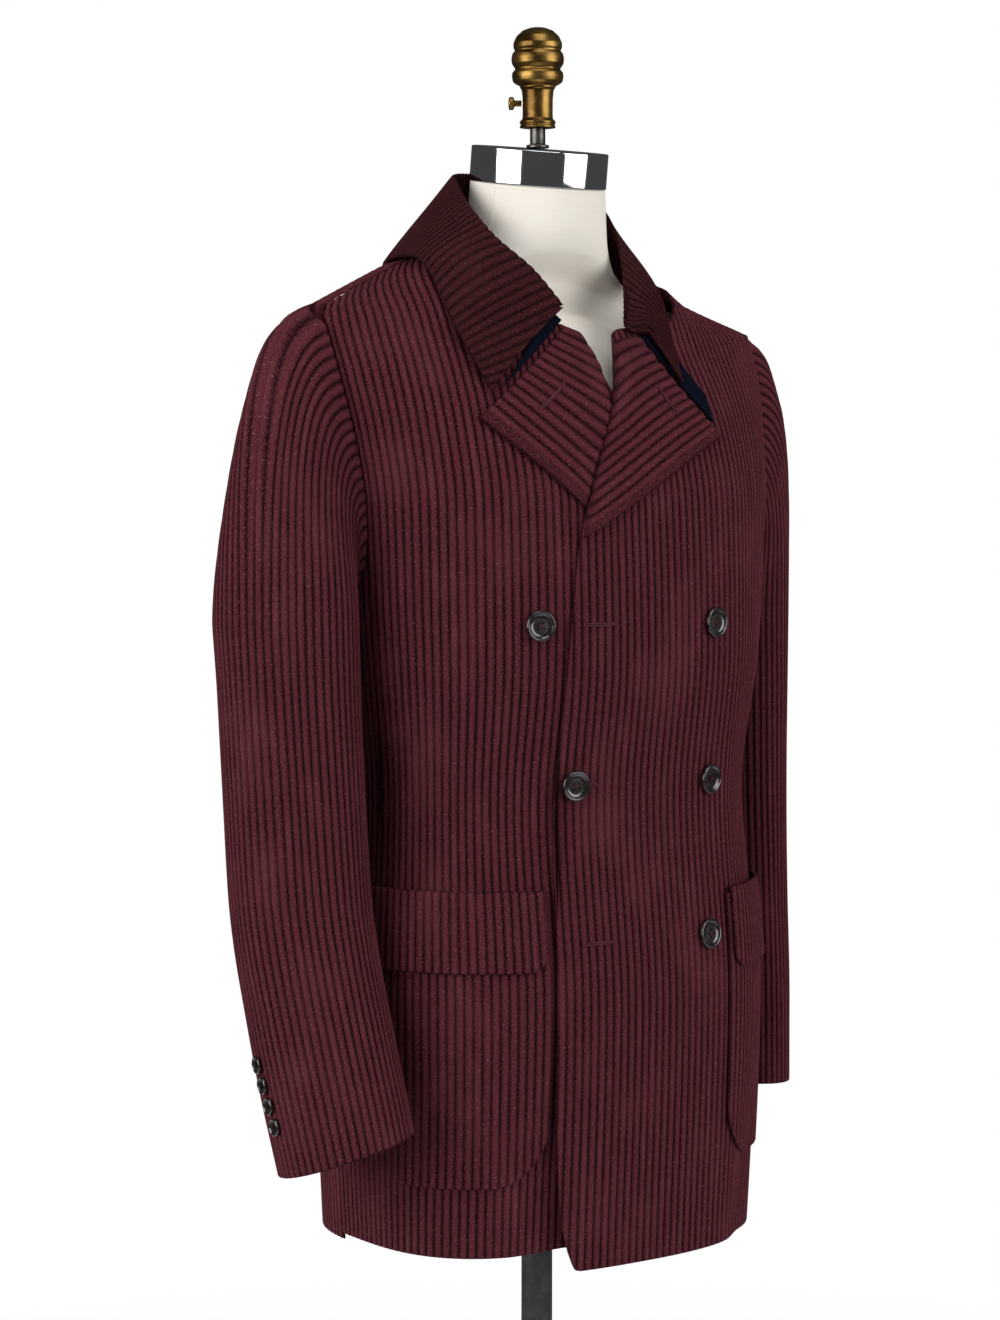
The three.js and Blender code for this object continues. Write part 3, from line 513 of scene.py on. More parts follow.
def foldDepth(panel, side, arc, z):
    depth = np.zeros(np.broadcast(arc, z).shape)
    for where, hand, middle, width, deep, fade in skirtFolds:
        if where == panel and hand == side:
            across = (arc - middle) / width
            down = smooth((fade - z) / (fade - bodySizes["hemHeight"]))
            depth = depth + deep * down * np.exp(-across * across)
    return depth


def settled(points):
    # the wearer's left shoulder hangs lower than the right one
    x, z = points[..., 0], points[..., 2]
    drop = bodySizes["leftShoulderDrop"] * smooth(x / 100) - 13 * smooth((x - 110) / 120)
    moved = points.copy()
    moved[..., 2] = z - drop * smooth((z - 1020) / 150)
    return moved


def bodyPoint(panel, side, arc, z):
    arc, z = np.broadcast_arrays(np.asarray(arc, float), np.asarray(z, float))
    x, y = rings.point(z, waleArc(panel, arc, z))
    if panel == "back":
        x = np.where(arc < 0, -x, x)
    return np.stack([side * x, y, z], axis=-1)


def bodyNormal(panel, side, arc, z):
    across = bodyPoint(panel, side, arc + 3, z) - bodyPoint(panel, side, arc - 3, z)
    up = bodyPoint(panel, side, arc, z + 14) - bodyPoint(panel, side, arc, z - 14)
    normal = np.cross(across, up)
    normal /= np.linalg.norm(normal, axis=-1, keepdims=True)
    return normal * (side if panel == "front" else -side)


def onBody(panel, side, arc, z, lift):
    out = lift + foldDepth(panel, side, arc, z)
    return bodyPoint(panel, side, arc, z) + bodyNormal(panel, side, arc, z) * out[..., None]


def overLift(side, arc):
    return layerStep * (1 - smooth((arc - 95) / 50)) if side > 0 else 0 * arc


# Cloth walls: fine rounded wales outside, and plain cloth inside
clothGrid = {
    "phases": [0, 0.1, 0.28, 0.5, 0.72, 0.9],
    "roundness": 0.55,
    "edgeRadius": 1.7,
    "edgeLift": 0.25,
    "lips": [0, 0.7, 1.9],
    "insideRidge": 0.35,
}


def waleColumns(start, end, pitch=None):
    # columns across the wales, and how high the ridge stands at each
    pitch = pitch or bodySizes["walePitch"]
    count = max(1, round((end - start) / pitch))
    at = (np.arange(count)[:, None] + np.array(clothGrid["phases"])).ravel()
    at = np.append(at, count)
    ridge = np.abs(np.sin(math.pi * at)) ** clothGrid["roundness"]
    ridge[np.abs(at - np.round(at)) < 1e-6] = 0
    return start + at * (end - start) / count, ridge


def lippedRows(low, high, count):
    # rows from low to high for each column, close together at both ends
    lips = np.array(clothGrid["lips"])
    low, high = np.asarray(low, float)[:, None], np.asarray(high, float)[:, None]
    length = high - low
    squeeze = np.minimum(1, length / (6 * lips[-1]))
    start = low + lips[None, :] * squeeze
    end = high - lips[None, ::-1] * squeeze
    middle = mix(start[:, -1:], end[:, :1], np.linspace(0, 1, count + 2)[None, 1:-1])
    return np.hstack([start, middle, end])


def edgeFall(distance):
    # how much of the wall's height is left this far from its edge
    part = np.clip(1 - distance / clothGrid["edgeRadius"], 0, 1)
    return mix(clothGrid["edgeLift"], 1, np.sqrt(1 - part ** 2))


def clothWall(columns, rows, place, ridge, fall, thickness, ribs, lay):
    # columns, rows, ridge and fall are grids; place(columns, rows, lift) gives points
    outer = place(columns, rows, fall * (thickness + ribs * ridge))
    count, high = columns.shape
    kept = list(range(0, count - 1, len(clothGrid["phases"]))) + [count - 1]
    inner = place(columns[kept], rows[kept], 0 * rows[kept])
    points = np.concatenate([outer.reshape(-1, 3), inner.reshape(-1, 3)])
    outside = np.arange(count * high).reshape(count, high)
    inside = count * high + np.arange(len(kept) * high).reshape(len(kept), high)
    faces = []

    def quads(a, b, c, d):
        faces.extend(np.stack([a.ravel(), b.ravel(), c.ravel(), d.ravel()], axis=1).tolist())

    quads(outside[:-1, :-1], outside[1:, :-1], outside[1:, 1:], outside[:-1, 1:])
    quads(inside[:-1, :-1], inside[:-1, 1:], inside[1:, 1:], inside[1:, :-1])
    quads(inside[0, :-1], outside[0, :-1], outside[0, 1:], inside[0, 1:])
    quads(inside[-1, 1:], outside[-1, 1:], outside[-1, :-1], inside[-1, :-1])
    for k in range(len(kept) - 1):
        i, j = kept[k], kept[k + 1]
        faces.append([inside[k, 0], inside[k + 1, 0], *outside[i:j + 1, 0][::-1]])
        faces.append([inside[k + 1, -1], inside[k, -1], *outside[i:j + 1, -1]])
    middle, across = count // 2, high // 2
    way = np.cross(outer[middle + 1, across] - outer[middle, across],
                   outer[middle, across + 1] - outer[middle, across])
    out = outer[middle, across] - place(columns[middle:middle + 1], rows[middle:middle + 1],
                                        0 * rows[middle:middle + 1])[0, across]
    if np.dot(way, out) < 0:
        faces = [face[::-1] for face in faces]
    laid = np.stack([lay[0], lay[1], 0 * lay[0]], axis=-1) * mm
    # ridge feeds the painted groove shade of the corduroy; it drops with the rounded edges, so the
    # rims are painted darker too, and the plain inside takes a middle tone
    values = {
        "ridge": ("FLOAT", np.concatenate([(ridge * fall).ravel(),
                                           np.full(len(kept) * high, clothGrid["insideRidge"])])),
        "lay": ("FLOAT_VECTOR", np.concatenate([laid.reshape(-1, 3), laid[kept].reshape(-1, 3)])),
    }
    return points, faces, values


def addCloth(name, wall, material, flat, area, slot="corduroy"):
    points, faces, values = wall
    piece = makePiece(f"{name}_cloth", settled(points), faces, material, [name], slot, values)


def bodyPanel(panel, side, start, end, low, high, lift, rows,
              thickness=bodySizes["thickness"], ribs=bodySizes["waleDepth"]):
    arcs, ridge = waleColumns(start, end)
    z = lippedRows(low(arcs), high(arcs), rows)
    columns = spread(arcs, z)
    ends = np.minimum(z - z[:, :1], z[:, -1:] - z)
    sides = np.minimum(arcs - start, end - arcs)[:, None]
    fall = np.minimum(edgeFall(ends), edgeFall(sides))

    def place(arc, height, out):
        return onBody(panel, side, arc, height, out + lift(arc))

    wall = clothWall(columns, z, place, spread(ridge, z), fall, thickness, ribs, (columns, z))
    height = z[:, -1] - z[:, 0]
    cut = float(np.sum((height[1:] + height[:-1]) / 2 * np.diff(arcs))) * mm * mm
    size = ((end - start) * mm, float(z.max() - z.min()) * mm)
    return wall, size, cut


def shoulderSeam(panel, arc):
    heights = np.arange(bodySizes["shoulderHeight"] - 16, bodySizes["neckHeight"], 0.25)
    side, whole = rings.sideAt(heights), rings.wholeAt(heights)
    reach = side if panel == "front" else whole - side
    order = np.argsort(reach)
    return np.interp(arc, reach[order], heights[order])


def armholeLow(fromSide):
    across = np.clip(np.abs((fromSide - armholeMiddle) / bodySizes["armholeHalfWidth"]), 0, 1)
    return mix(bodySizes["armholeWidest"], bodySizes["armpitHeight"], np.sqrt(1 - across ** 2))


def frontTop(edge):
    def high(arc):
        top = np.where(arc > edge["arc"][-1], shoulderSeam("front", arc + seamGap),
                       readTable(edge["arc"], edge["high"], arc))
        return np.where(arc > bodySizes["armholeFrontArc"], armholeLow(arc - chestSide), top)
    return high


def backTop(arc):
    top = np.where(arc < neckBackArc, bodySizes["neckHeight"], shoulderSeam("back", arc + seamGap))
    return np.where(arc > armholeBackArc, armholeLow(chestWhole - arc - chestSide), top)


def hemAt(panel, side, arc):
    if side > 0:
        return bodySizes["hemHeight"] + 0 * arc
    front = mix(1, 0.6, smooth(arc / sideSeamArc))
    part = front if panel == "front" else 0.6 * smooth(arc / 240)
    return bodySizes["hemHeight"] + bodySizes["rightHemRise"] * part


for side, edge in ((-1, rightEdge), (1, leftEdge)):
    word = words[side]
    wall, size, cut = bodyPanel(
        "front", side, edge["arc"][0], sideSeamArc - seamGap,
        lambda arc: np.maximum(readTable(edge["arc"], edge["low"], arc), hemAt("front", side, arc)),
        frontTop(edge), lambda arc: overLift(side, arc), rows=84)
    addCloth(f"front_{word}", wall, corduroy, size, cut)
    wall, size, cut = bodyPanel(
        "back", side, seamGap / 2, backSeamArc - seamGap / 2,
        lambda arc: hemAt("back", side, arc), backTop, lambda arc: 0 * arc, rows=80)
    addCloth(f"back_{word}", wall, corduroy, size, cut)
print("fronts and backs made")

# Patch pockets with round lower corners, and their flaps
pocketRows = [
    {"word": "right", "side": -1, "start": 88, "end": 254, "low": 462, "high": 692,
     "flapLow": 633, "flapHigh": 697},
    {"word": "left", "side": 1, "start": 88, "end": 254, "low": 460, "high": 681,
     "flapLow": 620, "flapHigh": 686},
]
pocketSizes = {"corner": 50, "flapCorner": 16, "flapShift": 3, "thickness": 1.6, "ribs": 1.1,
               "lift": 0.3, "flapLift": 3.8}


def roundedEnd(arc, start, end, low, radius):
    inset = np.maximum(radius - np.minimum(arc - start, end - arc), 0)
    return low + radius - np.sqrt(np.maximum(radius ** 2 - inset ** 2, 0))


for row in pocketRows:
    side, start, end = row["side"], row["start"], row["end"]
    wall, size, cut = bodyPanel(
        "front", side, start, end,
        lambda arc: roundedEnd(arc, start, end, row["low"], pocketSizes["corner"]),
        lambda arc: row["high"] + 0 * arc,
        lambda arc: layerStep + pocketSizes["lift"] + overLift(side, arc),
        rows=34, thickness=pocketSizes["thickness"], ribs=pocketSizes["ribs"])
    addCloth(f"pocket_{row['word']}", wall, corduroy, size, cut)
    shift = pocketSizes["flapShift"]
    wall, size, cut = bodyPanel(
        "front", side, start + shift, end + shift,
        lambda arc: roundedEnd(arc, start + shift, end + shift, row["flapLow"],
                               pocketSizes["flapCorner"]),
        lambda arc: row["flapHigh"] + 0 * arc,
        lambda arc: layerStep + pocketSizes["flapLift"] + overLift(side, arc),
        rows=14, thickness=pocketSizes["thickness"], ribs=pocketSizes["ribs"])
    addCloth(f"flap_{row['word']}", wall, corduroy, size, cut)
print("pockets and flaps made")

# Sleeves: sections at the outside of the cloth, and a head that runs to the armhole
sleeveSections = {
    "z": [470, 537, 590, 651, 690, 768, 847, 905],
    "rightX": [228, 231, 233, 236, 237, 239, 241, 243],
    "rightY": [-62, -41, -25, -10, -3, 2, 5.5, 7],
    "rightWide": [34.5, 35.5, 36.5, 37.5, 38, 39, 41, 42],
    "rightDeep": [67, 68.5, 67.8, 66.9, 66, 65, 64.6, 66],
    "leftX": [229, 232, 233.5, 234, 234, 235, 236, 237],
    "leftY": [27, 31, 33, 36, 37.5, 40, 41, 42],
    "leftWide": [33, 34, 35, 35.6, 36.3, 38, 39.8, 41.5],
    "leftDeep": [76, 76, 75.3, 75, 75, 74, 73, 72],
}
sleeveSizes = {
    "cuffs": {"right": (491, 20, 7), "left": (489, 5, 0)},
    "turned": {"right": math.radians(20), "left": 0.0},
    "bicepHeight": 905,
    "headShare": 0.32,
    "headLift": 0.4,
    "forearmSeam": math.radians(40),
    "hindarmSeam": math.radians(235),
    "girth": 365,
    "rows": 100,
    "span": 600.0,
    "layFrom": 1100,
    "layLength": 640,
}


def armholePoint(side, turn):
    # the seam line round the armhole: 0 at the armpit, a quarter in front, a half at the top
    whole = 2 * math.pi
    turn = np.mod(turn, whole)
    inFront = turn <= math.pi
    part = np.where(inFront, turn, whole - turn) / math.pi
    roundPart, lap = 0.3, 1.4
    angle = np.clip(part / roundPart, 0, 1) * math.pi / 2
    depth = bodySizes["armholeWidest"] - bodySizes["armpitHeight"] + lap
    z = bodySizes["armholeWidest"] - depth * np.cos(angle)
    across = (bodySizes["armholeHalfWidth"] + lap) * np.sin(angle)
    lift = layerStep + sleeveSizes["headLift"]
    low = onBody("front", side, chestSide + armholeMiddle + np.where(inFront, -across, across), z,
                 lift)
    z = mix(bodySizes["armholeWidest"], bodySizes["shoulderHeight"] - 2,
            np.clip((part - roundPart) / (1 - roundPart), 0, 1))
    toRidge = smooth((z - 1138) / 17)
    front = onBody("front", side,
                   mix(bodySizes["armholeFrontArc"] - lap, rings.sideAt(z), toRidge), z, lift)
    back = onBody("back", side,
                  mix(armholeBackArc - lap, rings.wholeAt(z) - rings.sideAt(z), toRidge), z, lift)
    high = np.where(inFront[..., None], front, back)
    return np.where((part < roundPart)[..., None], low, high)


def sleeveCrease(side, turn, z):
    # soft hollows where the sleeve hangs in folds
    depth = np.zeros(np.broadcast(turn, z).shape)
    for hand, middle, width, height, length, deep in sleeveCreases:
        if hand == side:
            across = (turn - math.radians(middle)) / math.radians(width)
            along = (z - height) / length
            depth = depth + deep * np.exp(-across ** 2 - along ** 2)
    return depth


# side, turn and width in degrees, height, length and depth
sleeveCreases = [
    (-1, 150, 16, 800, 150, -3.2),
    (-1, 196, 18, 690, 120, 1.8),
    (-1, 92, 22, 660, 90, -2.0),
    (-1, 178, 14, 960, 90, -1.6),
    (1, 140, 18, 760, 130, -2.4),
    (1, 95, 20, 650, 90, -1.6),
    (1, 210, 18, 700, 150, -2.2),
]


def sleeveSection(side, turn, z):
    word = words[side]
    x, y, wide, deep = (readTable(sleeveSections["z"], sleeveSections[word + column], z)
                        for column in ("X", "Y", "Wide", "Deep"))
    wall = clothHeight - sleeveCrease(side, turn, z)
    across, along = (wall - wide) * np.cos(turn), (wall - deep) * np.sin(turn)
    turned = sleeveSizes["turned"][word]
    x = x + across * math.cos(turned) + along * math.sin(turned)
    y = y + along * math.cos(turned) - across * math.sin(turned)
    return np.stack([side * x, y, z + 0 * x], axis=-1)


def sleevePoint(side, turn, row):
    # row runs from 0 at the armhole through headShare at the bicep to 1 at the cuff
    word = words[side]
    turn, row = np.broadcast_arrays(np.asarray(turn, float), np.asarray(row, float))
    bicep, share = sleeveSizes["bicepHeight"], sleeveSizes["headShare"]
    height, slope, rise = sleeveSizes["cuffs"][word]
    cuff = height + slope * np.sin(turn) + rise * np.cos(turn)
    z = mix(bicep, cuff, np.clip((row - share) / (1 - share), 0, None))
    low = sleeveSection(side, turn, z)
    t = np.clip(row / share, 0, 1)[..., None]
    high = (1 - np.cos(turn)) / 2
    outward = np.stack([side * mix(22, 150, high), 0 * high, mix(0, -30, high)], axis=-1)
    down = np.stack([0 * high, 0 * high, -mix(26, 300, high)], axis=-1)
    head = curve(armholePoint(side, turn), sleeveSection(side, turn, bicep + 0 * z), outward, down,
                 t)
    return np.where((row >= share)[..., None], low, head)


def sleeveNormal(side, turn, row):
    around = sleevePoint(side, turn + 0.02, row) - sleevePoint(side, turn - 0.02, row)
    down = sleevePoint(side, turn, np.minimum(row + 0.012, 1)) - \
        sleevePoint(side, turn, np.maximum(row - 0.012, 0))
    normal = np.cross(around, down)
    normal /= np.linalg.norm(normal, axis=-1, keepdims=True)
    return -side * normal


sleeveCuts = {"upper": (0.245, 0.665, 0.128), "under": (0.19, 0.52, 0.078)}
for side, word in words.items():
    for part, start, end in (
        ("upper", sleeveSizes["forearmSeam"], sleeveSizes["hindarmSeam"]),
        ("under", sleeveSizes["hindarmSeam"] - 2 * math.pi, sleeveSizes["forearmSeam"]),
    ):
        gap = seamGap / (sleeveSizes["girth"] / 3) / 2
        perTurn = sleeveSizes["girth"] / (2 * math.pi)
        turns, ridge = waleColumns(start + gap, end - gap, bodySizes["walePitch"] / perTurn)
        span = sleeveSizes["span"]
        rows = lippedRows(np.zeros(len(turns)), np.full(len(turns), span), sleeveSizes["rows"])
        rows = rows / span
        columns = spread(turns, rows)
        ends = np.minimum(rows, 1 - rows) * span
        sides = (np.minimum(turns - turns[0], turns[-1] - turns) * perTurn)[:, None]
        fall = np.minimum(edgeFall(ends), edgeFall(sides))

        def place(turn, row, out):
            return sleevePoint(side, turn, row) + sleeveNormal(side, turn, row) * out[..., None]

        down = sleeveSizes["layFrom"] - rows * sleeveSizes["layLength"]
        wall = clothWall(columns, rows, place, spread(ridge, rows), fall, bodySizes["thickness"],
                         bodySizes["waleDepth"], (columns * perTurn, down))
        width, length, cut = sleeveCuts[part]
        addCloth(f"sleeve_{word}_{part}", wall, corduroy, (width, length), cut)
print("sleeves made")

# Lapels: each turns back over its roll line, with a plain band along the lower edge
lapelRows = [
    {"word": "right", "side": -1, "notch": (31, 1145), "tip": (136, 1068),
     "rollZ": [1000, 1030, 1060, 1078, 1104, 1147], "rollArc": [58, 45, 27, 18.5, 17.5, 31],
     "size": (0.112, 0.125), "area": 0.0088},
    {"word": "left", "side": 1, "notch": (26, 1141), "tip": (93, 1056),
     "rollZ": [976, 1011, 1053, 1095, 1139], "rollArc": [-58, -48, -27, -5, 11],
     "size": (0.115, 0.165), "area": 0.0105},
]
lapelSizes = {"thickness": 1.6, "ribs": 1.1, "band": 7.0, "across": 105, "rows": 34, "roll": 7,
              "lift": 0.4, "share": 0.94, "depth": 100.0, "holeDepth": 110, "bandRidge": 0.72}


def lapelPoint(row, u, v, out):
    # v runs from the outer edge at 0 to the roll line at 1, and round the roll to 2
    side = row["side"]
    t = np.minimum(u, lapelSizes["share"])
    z0, arc0 = mix(row["tip"][1], row["notch"][1], t), mix(row["tip"][0], row["notch"][0], t)
    z1 = mix(row["rollZ"][0], row["rollZ"][-1], t ** 1.15)
    arc1 = readTable(row["rollZ"], row["rollArc"], z1)
    flat = np.minimum(v, 1)
    arc, z = mix(arc0, arc1, flat), mix(z0, z1, flat)
    base = overLift(side, arc)
    under = layerStep + lapelSizes["lift"] + base
    flatPart = onBody("front", side, arc, z, out + under)
    radius = (out + under - base) / 2
    angle = np.clip(v - 1, 0, 1) * math.pi
    outward = onBody("front", side, arc1, z1, under) - onBody(
        "front", side, mix(arc0, arc1, 0.9), mix(z0, z1, 0.9), under)
    length = np.linalg.norm(outward, axis=-1, keepdims=True)
    outward = outward / np.maximum(length, 1e-6)
    rolled = onBody("front", side, arc1, z1, base + radius + radius * np.cos(angle))
    rolled = rolled + outward * (radius * np.sin(angle))[..., None]
    return np.where((v > 1)[..., None], rolled, flatPart)


for row in lapelRows:
    share, depth = lapelSizes["share"], lapelSizes["depth"]
    us, ridge = waleColumns(0, share, bodySizes["walePitch"] / lapelSizes["across"])
    flatRows = lippedRows(np.zeros(len(us)), np.full(len(us), depth), lapelSizes["rows"]) / depth
    flatRows = np.hstack([flatRows[:, :-3], np.ones((len(us), 1))])
    rolls = 1 + np.linspace(0, 1, lapelSizes["roll"] + 1)[1:]
    vs = np.hstack([flatRows, np.broadcast_to(rolls[None, :], (len(us), len(rolls)))])
    columns = spread(us, vs)
    across = us[:, None] * lapelSizes["across"]
    band = smooth((across - lapelSizes["band"]) / 1.5)
    ridges = mix(lapelSizes["bandRidge"] * smooth(across / 1.5), ridge[:, None], band)
    ridges = ridges * np.ones(vs.shape)
    fall = np.minimum(edgeFall(vs * depth), edgeFall(across + 0 * vs))
    fall = np.minimum(fall, edgeFall((share - us[:, None]) * lapelSizes["across"] + 0 * vs))
    wall = clothWall(columns, vs, lambda u, v, out: lapelPoint(row, u, v, out), ridges, fall,
                     lapelSizes["thickness"], lapelSizes["ribs"], (across + 0 * vs, vs * depth))
    addCloth(f"lapel_{row['word']}", wall, corduroy, row["size"], row["area"])
print("lapels made")

# The collar: its stand at the neck, its fold and its outer edge, from the right end to the left
collarSections = {
    "stand": [(-58, -70, 1158), (-68, -60, 1184), (-82, -32, 1205), (-83, 0, 1209), (-76, 28, 1209),
              (-44, 61, 1209), (0, 68, 1209), (44, 61, 1209), (76, 28, 1209), (83, 0, 1209),
              (80, -34, 1203), (66, -64, 1182), (55, -74, 1166)],
    "fold": [(-32, -84, 1158), (-56, -74, 1187), (-74, -48, 1213), (-77, -12, 1245),
             (-66, 18, 1265), (-42, 52, 1274), (0, 62, 1277), (42, 52, 1286), (70, 18, 1276),
             (66, -13, 1249), (44, -52, 1206), (25, -79, 1169), (14, -93, 1145)],
    "edge": [(-122, -106, 1090), (-139, -80, 1141), (-136, -26, 1196), (-132, 22, 1199),
             (-110, 66, 1192), (-66, 94, 1186), (0, 100, 1184), (64, 94, 1192), (96, 60, 1206),
             (104, 1, 1217), (72, -75, 1187), (70, -95, 1142), (64, -114, 1108)],
}
collarSizes = {"length": 590, "fold": 0.28, "bulge": 3, "thickness": 1.6, "ribs": 0.95, "rows": 40,
               "softFold": 0.05, "foldRise": 2.5, "sink": 2.4, "pitch": 5.4, "depth": 130,
               "cutBack": 0.045, "cutFrom": 0.86}
# how far the wales lean along the collar between its outer edge and its fold
collarLean = {"at": [0, 0.08, 0.17, 0.3, 0.5, 0.7, 0.83, 0.92, 1],
              "shift": [-0.1, -0.025, 0.045, 0.03, 0, -0.03, -0.045, 0.025, 0.1]}


def collarLine(place, t):
    # a centripetal curve through the rows, as in the solid, whose rows at the ends differ
    points = np.array(collarSections[place], float)
    points = np.vstack([2 * points[0] - points[1], points, 2 * points[-1] - points[-2]])
    t = np.clip(np.asarray(t, float), 0, 1) * (len(points) - 3)
    i = np.clip(t.astype(int), 0, len(points) - 4)
    u = (t - i)[..., None]
    p0, p1, p2, p3 = (points[i + k] for k in range(4))
    d0, d1, d2 = (np.maximum(np.linalg.norm(b - a, axis=-1, keepdims=True) ** 0.5, 1e-4)
                  for a, b in ((p0, p1), (p1, p2), (p2, p3)))
    t1 = ((p1 - p0) / d0 - (p2 - p0) / (d0 + d1) + (p2 - p1) / d1) * d1
    t2 = ((p2 - p1) / d1 - (p3 - p1) / (d1 + d2) + (p3 - p2) / d2) * d1
    return curve(p1, p2, t1, t2, u)


def sharpCollar(t, v):
    fold = collarLine("fold", t) + np.array([0, 0, collarSizes["foldRise"]])
    stand, edge = collarLine("stand", t), collarLine("edge", t)
    part = collarSizes["fold"]
    up = stand + (fold - stand) * np.clip(v / part, 0, 1)[..., None]
    down = np.clip((v - part) / (1 - part), 0, 1)
    outward = (edge - fold) * np.array([1, 1, 0])
    outward /= np.linalg.norm(outward, axis=-1, keepdims=True)
    bulge = (collarSizes["bulge"] * 4 * down * (1 - down))[..., None]
    leaf = fold + (edge - fold) * down[..., None] + outward * bulge + bulge * np.array([0, 0, 1])
    return np.where((v <= part)[..., None], up, leaf)


def collarPoint(t, v):
    # the fold is a soft roll: nearby points are averaged there
    soft = collarSizes["softFold"] * smooth(v / 0.12) * smooth((1 - v) / 0.2)
    steps = np.linspace(-1, 1, 7)
    return sum(sharpCollar(t, v + soft * step) for step in steps) / len(steps)


def collarNormal(t, v):
    along = collarPoint(np.minimum(t + 0.006, 1), v) - collarPoint(np.maximum(t - 0.006, 0), v)
    down = collarPoint(t, np.minimum(v + 0.03, 1)) - collarPoint(t, np.maximum(v - 0.03, 0))
    normal = np.cross(along, down)
    return normal / np.linalg.norm(normal, axis=-1, keepdims=True)


def leanAt(s, v):
    # where a wale that starts at s on the outer edge is along the collar at v
    part = collarSizes["fold"]
    down = np.clip((1 - v) / (1 - part), 0, 1)
    return s + readTable(collarLean["at"], collarLean["shift"], s) * down


ss, ridge = waleColumns(0, 1, collarSizes["pitch"] / collarSizes["length"])
heights = np.linspace(0, 1, 400)
reach = leanAt(ss[:, None], heights[None, :])
inside = (reach >= 0) & (reach <= 1)
lowest = np.array([heights[np.argmax(row)] if row[0] or row.any() else 1 for row in inside])
lowest = np.minimum(lowest, 0.985)
depth = collarSizes["depth"]
vs = lippedRows(lowest * depth, np.full(len(ss), float(depth)), collarSizes["rows"]) / depth
ts = np.clip(leanAt(spread(ss, vs), vs), 0, 1)
# the left end is cut back a little between its fold and its tip
cutBack = collarSizes["cutBack"] * np.interp(vs, [0.4, 0.58, 1], [0, 1, 0])
ts = ts - cutBack * smooth((ts - collarSizes["cutFrom"]) / 0.14)
ends = np.minimum(vs - vs[:, :1], 1 - vs) * depth
sides = (np.minimum(ss, 1 - ss) * collarSizes["length"])[:, None]
fall = np.minimum(edgeFall(ends), edgeFall(sides))


def placeCollar(t, v, out):
    return collarPoint(t, v) + collarNormal(t, v) * (out - collarSizes["sink"])[..., None]


wall = clothWall(ts, vs, placeCollar, spread(ridge, vs), fall, collarSizes["thickness"],
                 collarSizes["ribs"], (ss[:, None] * collarSizes["length"] + 0 * vs, vs * depth))
addCloth("collar", wall, collarCorduroy, (0.59, 0.13), 0.062)

undercollarRows = [
    {"word": "right", "side": -1, "low": (38, 1146, 123, 1082), "high": (47, 1156, 106, 1095),
     "size": (0.09, 0.01)},
    {"word": "left", "side": 1, "low": (33, 1145, 88, 1069), "high": (56, 1161, 90, 1098),
     "size": (0.092, 0.023)},
]
undercollarSizes = {"length": 90, "width": 18, "thickness": 1.5}
for row in undercollarRows:
    side, low, high = row["side"], row["low"], row["high"]
    us = np.linspace(0, 1, 61)
    vs = np.broadcast_to(np.linspace(0, 1, 25)[None, :], (61, 25))
    columns = spread(us, vs)
    length, width = undercollarSizes["length"], undercollarSizes["width"]

    def place(u, v, out):
        arc = mix(mix(low[0], low[2], u), mix(high[0], high[2], u), v)
        z = mix(mix(low[1], low[3], u), mix(high[1], high[3], u), v)
        return onBody("front", side, arc, z, out + layerStep + overLift(side, arc))

    fall = np.minimum(edgeFall(np.minimum(vs, 1 - vs) * width),
                      edgeFall(np.minimum(us, 1 - us)[:, None] * length))
    wall = clothWall(columns, vs, place, 0 * vs, fall, undercollarSizes["thickness"], 0,
                     (columns * length, vs * width))
    addCloth(f"undercollar_{row['word']}", wall, navyFelt, row["size"], None,
             slot="undercollar_felt")
print("collar and undercollar made")


# Turned shapes: rings of points from profiles of radius and height
def turnedRings(profile, segments):
    angle = np.linspace(0, 2 * math.pi, segments, endpoint=False)
    profile = np.array(profile, float)
    return np.stack([
        profile[:, :1] * np.cos(angle)[None, :],
        profile[:, :1] * np.sin(angle)[None, :],
        np.broadcast_to(profile[:, 1:], (len(profile), segments)),
    ], axis=-1)


def closeRings(rings):
    # a closed skin over rings of points, with a point in the middle of each end
    count, segments = rings.shape[:2]
    points = np.vstack([rings.reshape(-1, 3), rings[0].mean(axis=0), rings[-1].mean(axis=0)])
    faces = []
    for j in range(count - 1):
        for i in range(segments):
            k = (i + 1) % segments
            faces.append([j * segments + i, j * segments + k, (j + 1) * segments + k,
                          (j + 1) * segments + i])
    foot, head = count * segments, count * segments + 1
    for i in range(segments):
        k = (i + 1) % segments
        faces.append([foot, k, i])
        faces.append([head, (count - 1) * segments + i, (count - 1) * segments + k])
    return points, faces


def joined(parts):
    # several skins as one: (points, faces) pairs
    points, faces, start = [], [], 0
    for some, many in parts:
        points.append(np.asarray(some, float))
        faces.extend([[n + start for n in face] for face in many])
        start += len(some)
    return np.vstack(points), faces


def rounded(profile, radius, steps=4):
    # softens the corners of a profile, apart from its two ends
    profile = [np.array(p, float) for p in profile]
    made = [profile[0]]
    for before, corner, after in zip(profile, profile[1:], profile[2:]):
        a, b = before - corner, after - corner
        cut = min(radius, 0.45 * np.linalg.norm(a), 0.45 * np.linalg.norm(b))
        start = corner + a / np.linalg.norm(a) * cut
        end = corner + b / np.linalg.norm(b) * cut
        for t in np.linspace(0, 1, steps + 1):
            made.append(mix(mix(start, corner, t), mix(corner, end, t), t))
    made.append(profile[-1])
    return [tuple(p) for p in made]


def addTurned(name, profile, softness, segments, material, node, slot, foot=0):
    rings = turnedRings(rounded(profile, softness), segments) + [0, 0, foot]
    makePiece(name, *closeRings(rings), material, [node], slot)


def frameOn(normal):
    # sideways, upward and outward directions on a surface
    outward = np.asarray(normal, float)
    outward = outward / np.linalg.norm(outward)
    across = np.cross((0, 0, 1), outward)
    across /= np.linalg.norm(across)
    return np.stack([across, np.cross(outward, across), outward])


